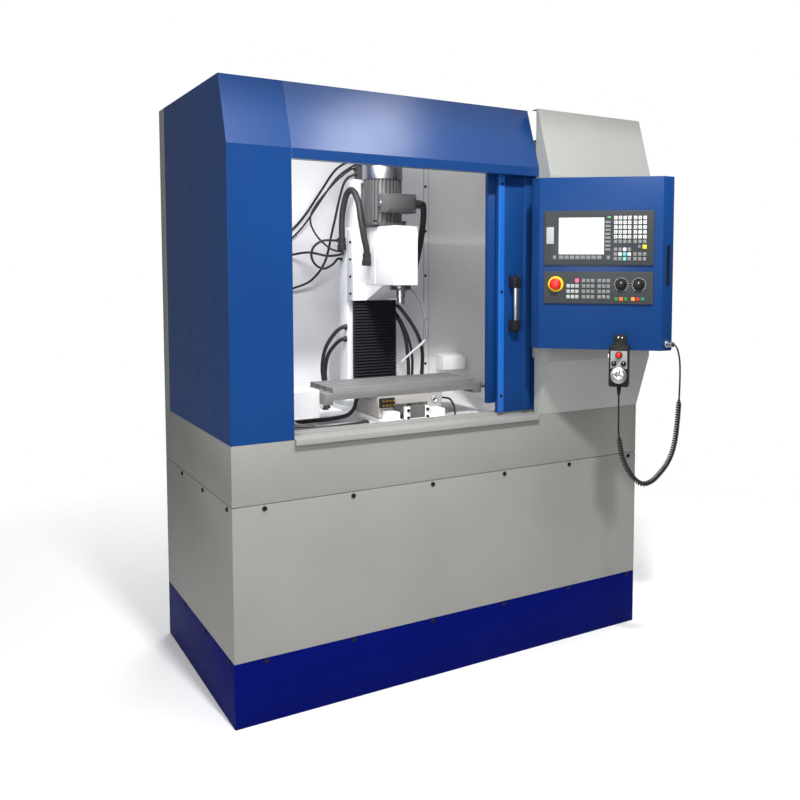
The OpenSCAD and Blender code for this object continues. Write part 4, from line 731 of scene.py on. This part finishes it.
cable_routes = {
    "upper_cable": (0.005, [
        (-0.1603, 0.112, 1.985), (-0.176, 0.112, 1.985), (-0.213, 0.220, 1.950), (-0.245, 0.310, 1.865),
        (-0.290, 0.370, 1.770), (-0.344, 0.395, 1.700), (-0.405, 0.397, 1.660), (-0.420, 0.394, 1.655),
        (-0.420, 0.4097, 1.655)]),
    "fitting_cable": (0.005, [
        (-0.2383, 0.105, 1.6077), (-0.2383, 0.105, 1.592), (-0.262, 0.200, 1.585), (-0.300, 0.310, 1.600),
        (-0.345, 0.372, 1.592), (-0.385, 0.390, 1.580), (-0.385, 0.4097, 1.580)]),
    "lower_cable": (0.005, [
        (-0.1603, 0.128, 1.920), (-0.177, 0.128, 1.920), (-0.205, 0.165, 1.880), (-0.226, 0.230, 1.700),
        (-0.235, 0.300, 1.560), (-0.275, 0.360, 1.480), (-0.343, 0.385, 1.447), (-0.380, 0.391, 1.440),
        (-0.380, 0.4097, 1.440)]),
    "second_cable": (0.004, [
        (-0.1603, 0.094, 1.960), (-0.180, 0.096, 1.960), (-0.214, 0.205, 1.915), (-0.247, 0.300, 1.828),
        (-0.293, 0.362, 1.732), (-0.350, 0.388, 1.662), (-0.412, 0.393, 1.620), (-0.440, 0.393, 1.612),
        (-0.440, 0.4097, 1.612)]),
    "loop_cable": (0.005, [
        (-0.2203, 0.190, 1.650), (-0.240, 0.192, 1.650), (-0.282, 0.200, 1.648), (-0.318, 0.210, 1.624),
        (-0.328, 0.215, 1.585), (-0.312, 0.212, 1.548), (-0.280, 0.200, 1.532), (-0.250, 0.180, 1.548),
        (-0.237, 0.152, 1.572), (-0.2203, 0.150, 1.572)]),
    "slack_cable": (0.004, [
        (-0.1603, 0.146, 1.945), (-0.178, 0.148, 1.945), (-0.228, 0.190, 1.895), (-0.296, 0.236, 1.800),
        (-0.318, 0.250, 1.735), (-0.296, 0.240, 1.672), (-0.258, 0.205, 1.622), (-0.238, 0.168, 1.606),
        (-0.2203, 0.166, 1.606)]),
    "left_lead": (0.008, [
        (-0.2203, 0.104, 1.290), (-0.238, 0.104, 1.290), (-0.268, 0.120, 1.262), (-0.300, 0.140, 1.200),
        (-0.310, 0.150, 1.120), (-0.302, 0.150, 1.040), (-0.298, 0.150, 0.965), (-0.298, 0.150, 0.9433)]),
    "left_lead_2": (0.008, [
        (-0.2203, 0.108, 1.240), (-0.236, 0.108, 1.240), (-0.256, 0.130, 1.220), (-0.278, 0.165, 1.170),
        (-0.286, 0.180, 1.100), (-0.280, 0.182, 1.030), (-0.276, 0.182, 0.965), (-0.276, 0.182, 0.9433)]),
    "right_lead": (0.008, [
        (-0.0097, 0.112, 1.380), (0.008, 0.112, 1.380), (0.040, 0.104, 1.350), (0.096, 0.088, 1.262),
        (0.126, 0.090, 1.180), (0.132, 0.102, 1.090), (0.128, 0.116, 1.010), (0.126, 0.124, 0.965),
        (0.126, 0.124, 0.9433)]),
    "right_lead_3": (0.006, [
        (-0.0097, 0.150, 1.355), (0.008, 0.150, 1.355), (0.040, 0.148, 1.325), (0.082, 0.142, 1.240),
        (0.104, 0.142, 1.150), (0.108, 0.150, 1.060), (0.106, 0.158, 0.965), (0.106, 0.158, 0.9433)]),
    "right_lead_2": (0.008, [
        (-0.0097, 0.118, 1.330), (0.008, 0.118, 1.330), (0.034, 0.116, 1.300), (0.062, 0.118, 1.220),
        (0.076, 0.124, 1.120), (0.080, 0.130, 1.030), (0.080, 0.132, 0.965), (0.080, 0.132, 0.9433)]),
}


def plain_cable(name, radius, route, sides=14):
    """Smooth black cable along its route."""
    line = smooth_line(route, 10)
    piece = swept_tube(name, line, [radius] * len(line), sides)
    piece.data.materials.append(conduit_plastic)
    return piece


gland_fits = 0.008
gland_places = []
for name, (radius, route) in cable_routes.items():
    cable = plain_cable(name, radius, route)
    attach(cable, "frame")
    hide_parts("wall_cables")
    for end, onward in ((route[0], route[1]), (route[-1], route[-2])):
        out = turned(Vector(onward) - Vector(end), end)
        gland_places.append(out @ Matrix.Scale(radius / gland_fits, 4))
gland = drum("cable_glands", 0.0135, 0.006, (0, 0, 0), (0, 0, 1), 6)
step_in(gland, (0, 0, 1), 0.0015)
pull((0, 0, 0.007))
bpy.ops.transform.resize(value=(0.88, 0.88, 1))
round_edges(gland, 0.0006)
settle(set_out(gland, gland_places), conduit_plastic, "frame", "cable_plastic")

tray_routes = {
    "tray_hose": (0.007, [
        (-0.600, -0.262, 0.9433), (-0.600, -0.262, 0.953), (-0.575, -0.268, 0.960),
        (-0.500, -0.285, 0.9525), (-0.420, -0.290, 0.9525), (-0.340, -0.275, 0.9525),
        (-0.302, -0.268, 0.956), (-0.294, -0.266, 0.9433)]),
    "tray_hose_2": (0.006, [
        (-0.620, -0.300, 0.9433), (-0.620, -0.300, 0.952), (-0.590, -0.306, 0.958),
        (-0.520, -0.318, 0.951), (-0.440, -0.322, 0.951), (-0.360, -0.300, 0.951),
        (-0.327, -0.290, 0.954), (-0.318, -0.288, 0.9433)]),
}
for name, (radius, route) in tray_routes.items():
    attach(plain_cable(name, radius, route), "frame")
oil_route = [
    (0.0253, -0.255, 1.020), (0.040, -0.256, 1.020), (0.066, -0.262, 1.012), (0.080, -0.268, 0.985),
    (0.083, -0.272, 0.958), (0.083, -0.272, 0.9433)]
oil_line = plain_cable("oil_line", 0.004, oil_route, 12)
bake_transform(oil_line)

hose_route = [
    (-0.0097, 0.104, 1.490), (0.008, 0.104, 1.490), (0.024, 0.092, 1.484), (0.048, 0.056, 1.452),
    (0.084, 0.028, 1.399), (0.089, 0.0, 1.336), (0.084, -0.030, 1.262), (0.060, -0.044, 1.226),
    (-0.006, -0.070, 1.189), (-0.071, -0.100, 1.153)]
line = smooth_line(hose_route, 10)
collar_y, nozzle_y, nozzle_end = 0.09, -0.044, -0.100
hose_radii = []
for point in line:
    if point.y > collar_y:
        hose_radii.append(0.006)
    elif point.y > nozzle_y:
        hose_radii.append(0.005)
    else:
        hose_radii.append(0.006 - 0.003 * (nozzle_y - point.y) / (nozzle_y - nozzle_end))
hose = swept_tube("coolant_line", line, hose_radii, 14)
hose.data.materials.append(hose_plastic)
hose.data.materials.append(nozzle_plastic)
for face in hose.data.polygons:
    face.material_index = int(face.center.y < nozzle_y)
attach(hose, "frame")
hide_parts("coolant_hose")

lead_route = [
    (-0.534, -0.150, 0.9757), (-0.534, -0.150, 0.966), (-0.516, -0.146, 0.956), (-0.460, -0.140, 0.954),
    (-0.380, -0.134, 0.954), (-0.320, -0.131, 0.962), (-0.292, -0.130, 0.985), (-0.282, -0.130, 1.016),
    (-0.271, -0.130, 1.032), (-0.2553, -0.130, 1.032)]
lead = plain_cable("table_lead", 0.008, lead_route)
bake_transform(lead)
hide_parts("table_cables")


# Control box. A blue folded case on a swivel bracket with two moulded operator panels: a lit
# screen, rubber keys, printed dial marks, lamps, an emergency stop and two override knobs. A black
# grip is screwed to the case's bevel from inside.
box_place = Matrix.Translation((0.518, -0.665, 1.236)) @ Matrix.Rotation(math.radians(-45), 4, "Z")
box_front, panel_left, panel_face = -0.146, -0.209, -0.154
display_top, machine_top, panels_meet = 0.514, 0.290, 0.295
panel_plastic = powder_coat("panel_plastic", (0.042, 0.047, 0.05), 0.45, 1500, 0.08, 0.2)
soft_edged("control_box", blue, 0.002)
soft_edged("swivel_bracket", blackened, 0.002)
soft_edged("operator_panels", panel_plastic, 0.0014, 3)


def lamp_plastic(name, colour, strength):
    """Coloured translucent cap with a lamp behind it."""
    cap = powder_coat(name, colour, 0.4, 1500, 0.05)
    shader = cap.node_tree.nodes["Principled BSDF"]
    shader.inputs["Emission Color"].default_value = (*colour, 1)
    shader.inputs["Emission Strength"].default_value = strength
    return cap


key_paints = {
    "grey": powder_coat("key_grey", (0.20, 0.21, 0.21), 0.45, 2000, 0.05),
    "white": powder_coat("key_white", (0.68, 0.69, 0.68), 0.45, 2000, 0.05),
    "pale": powder_coat("key_pale", (0.40, 0.41, 0.41), 0.45, 2000, 0.05),
    "slate": powder_coat("key_slate", (0.10, 0.16, 0.24), 0.45, 2000, 0.05),
    "cyan": powder_coat("key_cyan", (0.16, 0.55, 0.62), 0.45, 2000, 0.05),
    "yellow": powder_coat("key_yellow", (0.85, 0.60, 0.03), 0.4, 2000, 0.05),
    "green": powder_coat("key_green", (0.03, 0.20, 0.06), 0.4, 2000, 0.05),
    "red": powder_coat("key_red", (0.45, 0.02, 0.02), 0.4, 2000, 0.05),
    "pink_lamp": lamp_plastic("pink_lamp", (1.0, 0.09, 0.16), 1.3),
    "red_lamp": lamp_plastic("red_lamp", (0.9, 0.10, 0.02), 0.8),
    "amber_lamp": lamp_plastic("amber_lamp", (0.9, 0.20, 0.02), 0.8),
}
# Each rule: panel top, left and right edge, upper and lower edge in mm on the panel, paint.
key_rules = [
    (display_top, 258, 384, 19, 106, "white"), (display_top, 363, 380, 124, 141, "yellow"),
    (display_top, 346, 358, 125, 139, "slate"), (display_top, 8, 38, 59, 123, "pale"),
    (display_top, 292, 307, 134, 149, "white"), (display_top, 275, 290, 152, 166, "white"),
    (display_top, 309, 323, 152, 166, "white"), (display_top, 292, 307, 152, 183, "cyan"),
    (machine_top, 117, 133, 26, 41, "pink_lamp"), (machine_top, 85, 133, 46, 101, "pale"),
    (machine_top, 263, 278, 92, 108, "green"), (machine_top, 281, 296, 92, 108, "red_lamp"),
    (machine_top, 299, 313, 92, 108, "green"), (machine_top, 325, 340, 92, 108, "amber_lamp"),
    (machine_top, 342, 357, 92, 108, "red"), (machine_top, 360, 375, 92, 108, "green"),
]
keys = soft_edged("panel_keys", key_paints["grey"], 0.0007, 2)
paint_names = list(key_paints)
for paint in paint_names[1:]:
    keys.data.materials.append(key_paints[paint])
to_box = box_place.inverted()
for face in keys.data.polygons:
    spot = to_box @ face.center
    top = display_top if spot.z > panels_meet else machine_top
    x, drop = (spot.x - panel_left) * 1000, (top - spot.z) * 1000
    for panel, left, right, high, low, paint in key_rules:
        if panel == top and left < x < right and high < drop < low:
            face.material_index = paint_names.index(paint)
            break


def on_panel(x, drop, top, lift=0.0):
    """Place on an operator panel, in mm from its left and top edges, pointing out of it."""
    out = turned((0, -1, 0), (panel_left + x / 1000, panel_face - lift, top - drop / 1000))
    return box_place @ out


knob_across = {"feed_knob": 289, "speed_knob": 353}
knob_drop = 47
dial_centres = [on_panel(x, knob_drop, machine_top) for x in knob_across.values()]
mark = block("dial_marks", (-0.0007, 0.0225, 0), (0.0007, 0.0270, 0.0004))
step_in(mark, (0, 0, 1), 0.0001, 0.0001)
mark_places = [centre @ Matrix.Rotation(math.radians(a), 4, "Z")
               for centre in dial_centres for a in range(-140, 141, 20)]
settle(set_out(mark, mark_places), key_paints["white"], "control_body", "key_plastic")
rosette = drum("dial_plates", 0.0215, 0.0002, (0, 0, 0), (0, 0, 1), 48)
step_in(rosette, (0, 0, 1), 0.001, 0.00005)
settle(set_out(rosette, dial_centres), blackened, "control_body", "panel_dark")
sign = block("key_signs", (-0.0016, -0.0024, 0), (0.0016, 0.0024, 0.0001))
step_in(sign, (0, 0, 1), 0.0005, 0.00005)
sign_places = [on_panel(x + 6.2, 26.4 + 17.4 * row, display_top, 0.0025)
               for row in range(5) for x in (259.6, 276.4, 293.2, 310.0, 331.0, 348.3, 365.6)]
settle(set_out(sign, sign_places), blackened, "control_body", "key_plastic")
lit = block("amber_marks", (-0.004, -0.001, 0), (0.004, 0.001, 0.0008))
step_in(lit, (0, 0, 1), 0.0003, 0.0003)
lit_places = [on_panel(x, 90, machine_top, 0.0024) for x in (124.9, 224.4)]
settle(set_out(lit, lit_places), key_paints["amber_lamp"], "control_body", "key_plastic")
led = drum("panel_lamps", 0.002, 0.0012, (0, 0, 0), (0, 0, 1), 16)
step_in(led, (0, 0, 1), 0.0008, 0.0005)
led_places = [on_panel(240.7 + x, 24, display_top) for x in (-3.5, 3.5)]
green_lamp = lamp_plastic("green_lamp", (0.25, 1.0, 0.3), 0.8)
settle(set_out(led, led_places), green_lamp, "control_body", "key_plastic")

screen_glow = bpy.data.materials.new("lit_screen")
screen_glow.use_nodes = True
screen_tree = screen_glow.node_tree
screen_shader = screen_tree.nodes["Principled BSDF"]
screen_shader.inputs["Base Color"].default_value = (0.03, 0.03, 0.03, 1)
screen_shader.inputs["Roughness"].default_value = 0.12
screen_shader.inputs["Emission Strength"].default_value = 1.0
glass_place = shader_node(screen_tree, "TexCoord")
glass_turn = shader_node(screen_tree, "Mapping", Rotation=(0, 0, math.radians(45)))
glass_axes = shader_node(screen_tree, "SeparateXYZ")
glass_flat = shader_node(screen_tree, "CombineXYZ")
fields = shader_node(screen_tree, "TexBrick", Color1=(0.96, 0.98, 0.98, 1), Color2=(0.90, 0.95, 0.97, 1),
                     Mortar=(0.78, 0.84, 0.86, 1), Scale=18, Mortar_Size=0.012)
screen_tree.links.new(glass_place.outputs["Object"], glass_turn.inputs["Vector"])
screen_tree.links.new(glass_turn.outputs["Vector"], glass_axes.inputs["Vector"])
screen_tree.links.new(glass_axes.outputs["X"], glass_flat.inputs["X"])
screen_tree.links.new(glass_axes.outputs["Z"], glass_flat.inputs["Y"])
screen_tree.links.new(glass_flat.outputs["Vector"], fields.inputs["Vector"])
screen_tree.links.new(fields.outputs["Color"], screen_shader.inputs["Emission Color"])
finish_node(screen_glow, "display_screen")

grip = block("side_grip", (-0.006, -0.072, -0.001), (0.006, 0.072, 0.004))
step_in(grip, (0, 0, 1), 0.002)
pull((0, 0, -0.002))
round_edges(grip, 0.0006)
on_bevel = box_place @ turned((1, -1, 0), (0.2465, -0.1285, 0.314))
grip_place = on_bevel @ Matrix.Rotation(math.radians(45), 4, "Z")
settle(set_out(grip, [grip_place]), blackened, "control_body", "black_plastic")

yellow = powder_coat("yellow_plastic", (0.78, 0.52, 0.01), 0.3, 1500, 0.04)
red = powder_coat("red_plastic", (0.6, 0.012, 0.01), 0.28, 1500, 0.04)
black_plastic = powder_coat("black_plastic", (0.009, 0.009, 0.01), 0.4, 1400, 0.15, 0.2)
soft_edged("estop_base", yellow, 0.001)


def mushroom(name, node, place, stem_r, low, head_r, under, height):
    """Push button pointing up from its seat: stem and wider domed head."""
    cap = drum(name, stem_r, under - low, (0, 0, low), (0, 0, 1), 48)
    pick(cap, (0, 0, -1))
    bpy.ops.transform.resize(value=(0.85, 0.85, 1))
    pick(cap, (0, 0, 1))
    pull((0, 0, 0))
    bpy.ops.transform.resize(value=(head_r / stem_r, head_r / stem_r, 1))
    for rise, narrow in ((0.55, 1.0), (0.2, 0.96), (0.13, 0.9), (0.08, 0.82), (0.04, 0.65)):
        pull((0, 0, rise * height))
        bpy.ops.transform.resize(value=(narrow, narrow, 1))
    settle(set_out(cap, [place]), red, nodes[node]["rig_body"], "red_plastic", node)


estop_place = on_panel(46, knob_drop, machine_top)
mushroom("estop_mushroom", "estop_button", estop_place, 0.009, 0.0057, 0.021, 0.0103, 0.016)
soft_edged("feed_knob", black_plastic, 0.001, 3)
soft_edged("speed_knob", black_plastic, 0.001, 3)
knob_height = 0.0183
for knob, x in knob_across.items():
    pointer = block(knob + "_line", (-0.0009, 0.003, -0.0004), (0.0009, 0.0115, 0.0006))
    step_in(pointer, (0, 0, 1), 0.0003, 0.0002)
    place = on_panel(x, knob_drop, machine_top, knob_height)
    settle(set_out(pointer, [place]), key_paints["white"], nodes[knob]["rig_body"], "key_plastic")


# Pendant. A hand-held black case on a hook of the box, with a grey face plate, a bright hand
# wheel, two selector knobs and a red stop, on a curly cord back to a plug on the box's bevel.
dial_metal = bare_metal("turned_aluminium", (0.72, 0.72, 0.73), 0.28, (300, 300, 300))
face_grey = powder_coat("face_plate_grey", (0.30, 0.31, 0.31), 0.5, 1200, 0.05)
pendant_mid, pendant_face, stop_z = 0.0785, -0.2043, -0.013
soft_edged("pendant_hook", blackened, 0.0008)
soft_edged("pendant_body", black_plastic, 0.003, 3)
soft_edged("pendant_dial", dial_metal, 0.0012)
soft_edged("pendant_axis_knob", black_plastic, 0.0008, 3)
soft_edged("pendant_step_knob", black_plastic, 0.0008, 3)
stop_place = box_place @ turned((0, -1, 0), (pendant_mid, pendant_face - 0.0003, stop_z))
mushroom("pendant_mushroom", "pendant_stop_button", stop_place, 0.006, 0, 0.010, 0.006, 0.010)
soft_edged("pendant_enable_button", dial_metal, 0.001)
connector = soft_edged("cord_connector", dial_metal, 0.0008)

plate = block("face_plate", (pendant_mid - 0.030, pendant_face - 0.0002, -0.063),
              (pendant_mid + 0.030, pendant_face, 0.002))
step_in(plate, (0, -1, 0), 0.001, 0.00005)
punch = drum("plate_punch", 0.0125, 0.01, (pendant_mid, pendant_face + 0.005, stop_z), (0, -1, 0), 48)
only(plate)
hole = plate.modifiers.new("hole", "BOOLEAN")
hole.object = punch
bpy.ops.object.modifier_apply(modifier="hole")
bpy.data.objects.remove(punch)
settle(set_out(plate, [box_place]), face_grey, "control_body", "panel_dark")
hook_front = box_front - 0.0032
hook_screws = [box_place @ turned((0, -1, 0), (pendant_mid + x, hook_front, 0.046))
               for x in (-0.007, 0.007)]
hook_heads = set_out(button_screw("hook_screws", 0.0036), hook_screws)
settle(hook_heads, dial_metal, "control_body", "bright_steel")
for knob, side in (("pendant_axis_knob", -0.0175), ("pendant_step_knob", 0.0175)):
    pointer = block(knob + "_line", (-0.0007, 0.001, -0.0004), (0.0007, 0.0075, 0.0005))
    step_in(pointer, (0, 0, 1), 0.0002, 0.0002)
    place = box_place @ turned((0, -1, 0), (pendant_mid + side, pendant_face - 0.0123, -0.044))
    settle(set_out(pointer, [place]), key_paints["white"], nodes[knob]["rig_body"], "key_plastic")
tick = block("dial_ticks", (-0.00025, 0.0242, 0), (0.00025, 0.0282, 0.0003))
step_in(tick, (0, 0, 1), 0.00006, 0.00005)
dial_front = box_place @ turned((0, -1, 0), (pendant_mid, pendant_face - 0.0067, -0.088))
dial_steps = 50
tick_places = [dial_front @ Matrix.Rotation(2 * math.pi * i / dial_steps, 4, "Z")
               for i in range(dial_steps)]
settle(set_out(tick, tick_places), black_plastic, nodes["pendant_dial"]["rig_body"], "black_plastic")

cord_r, coil_r, coil_pitch = 0.00325, 0.0105, 0.0088
# Points of the cord's route in mm: across the box, back from its front, and up.
cord_points = [
    (78.5, -36.3, -164), (79, -36, -230), (80, -36, -300), (86, -36, -350), (96, -36, -395),
    (116, -36, -440), (143, -36, -475), (171, -35, -490), (203, -34, -478), (231, -33, -448),
    (256, -32, -412), (274, -31, -370), (285, -30, -320), (291, -29, -260), (295, -28, -200),
    (297, -27, -150), (298, -26, -100), (297, -25, -45), (293, -23, -12), (287, -20, 10),
    (280, -15, 22), (272, -8, 25)]
cord_route = [box_place @ Vector((u / 1000, box_front + d / 1000, v / 1000)) for u, d, v in cord_points]
route_line = smooth_line(cord_route, 24)
# The cord is straight near its ends and coiled between these two points of its line.
coil_first, coil_last, turn_points = 54, 350, 14
before = spaced(route_line[:coil_first + 1], 0.006)
along = spaced(route_line[coil_first:coil_last + 1], coil_pitch / turn_points)
after = spaced(route_line[coil_last:], 0.006)
wire = before[:-1]
side = None
for i, here in enumerate(along):
    ahead = (along[min(i + 1, len(along) - 1)] - along[max(i - 1, 0)]).normalized()
    if side is None:
        side = ahead.orthogonal().normalized()
    side = (side - ahead * side.dot(ahead)).normalized()
    up = ahead.cross(side)
    ease = min(1.0, i / (2 * turn_points), (len(along) - 1 - i) / (2 * turn_points))
    turn = 2 * math.pi * i / turn_points
    wire.append(here + (coil_r - cord_r) * ease * (math.cos(turn) * side + math.sin(turn) * up))
wire += after[1:]
cord = strand("curly_cord", wire, [cord_r] * len(wire), 10)
cord.data.materials.append(powder_coat("cord_jacket", (0.012, 0.012, 0.013), 0.38, 1400, 0.1))
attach(cord, "control_body")
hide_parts("pendant_cord")
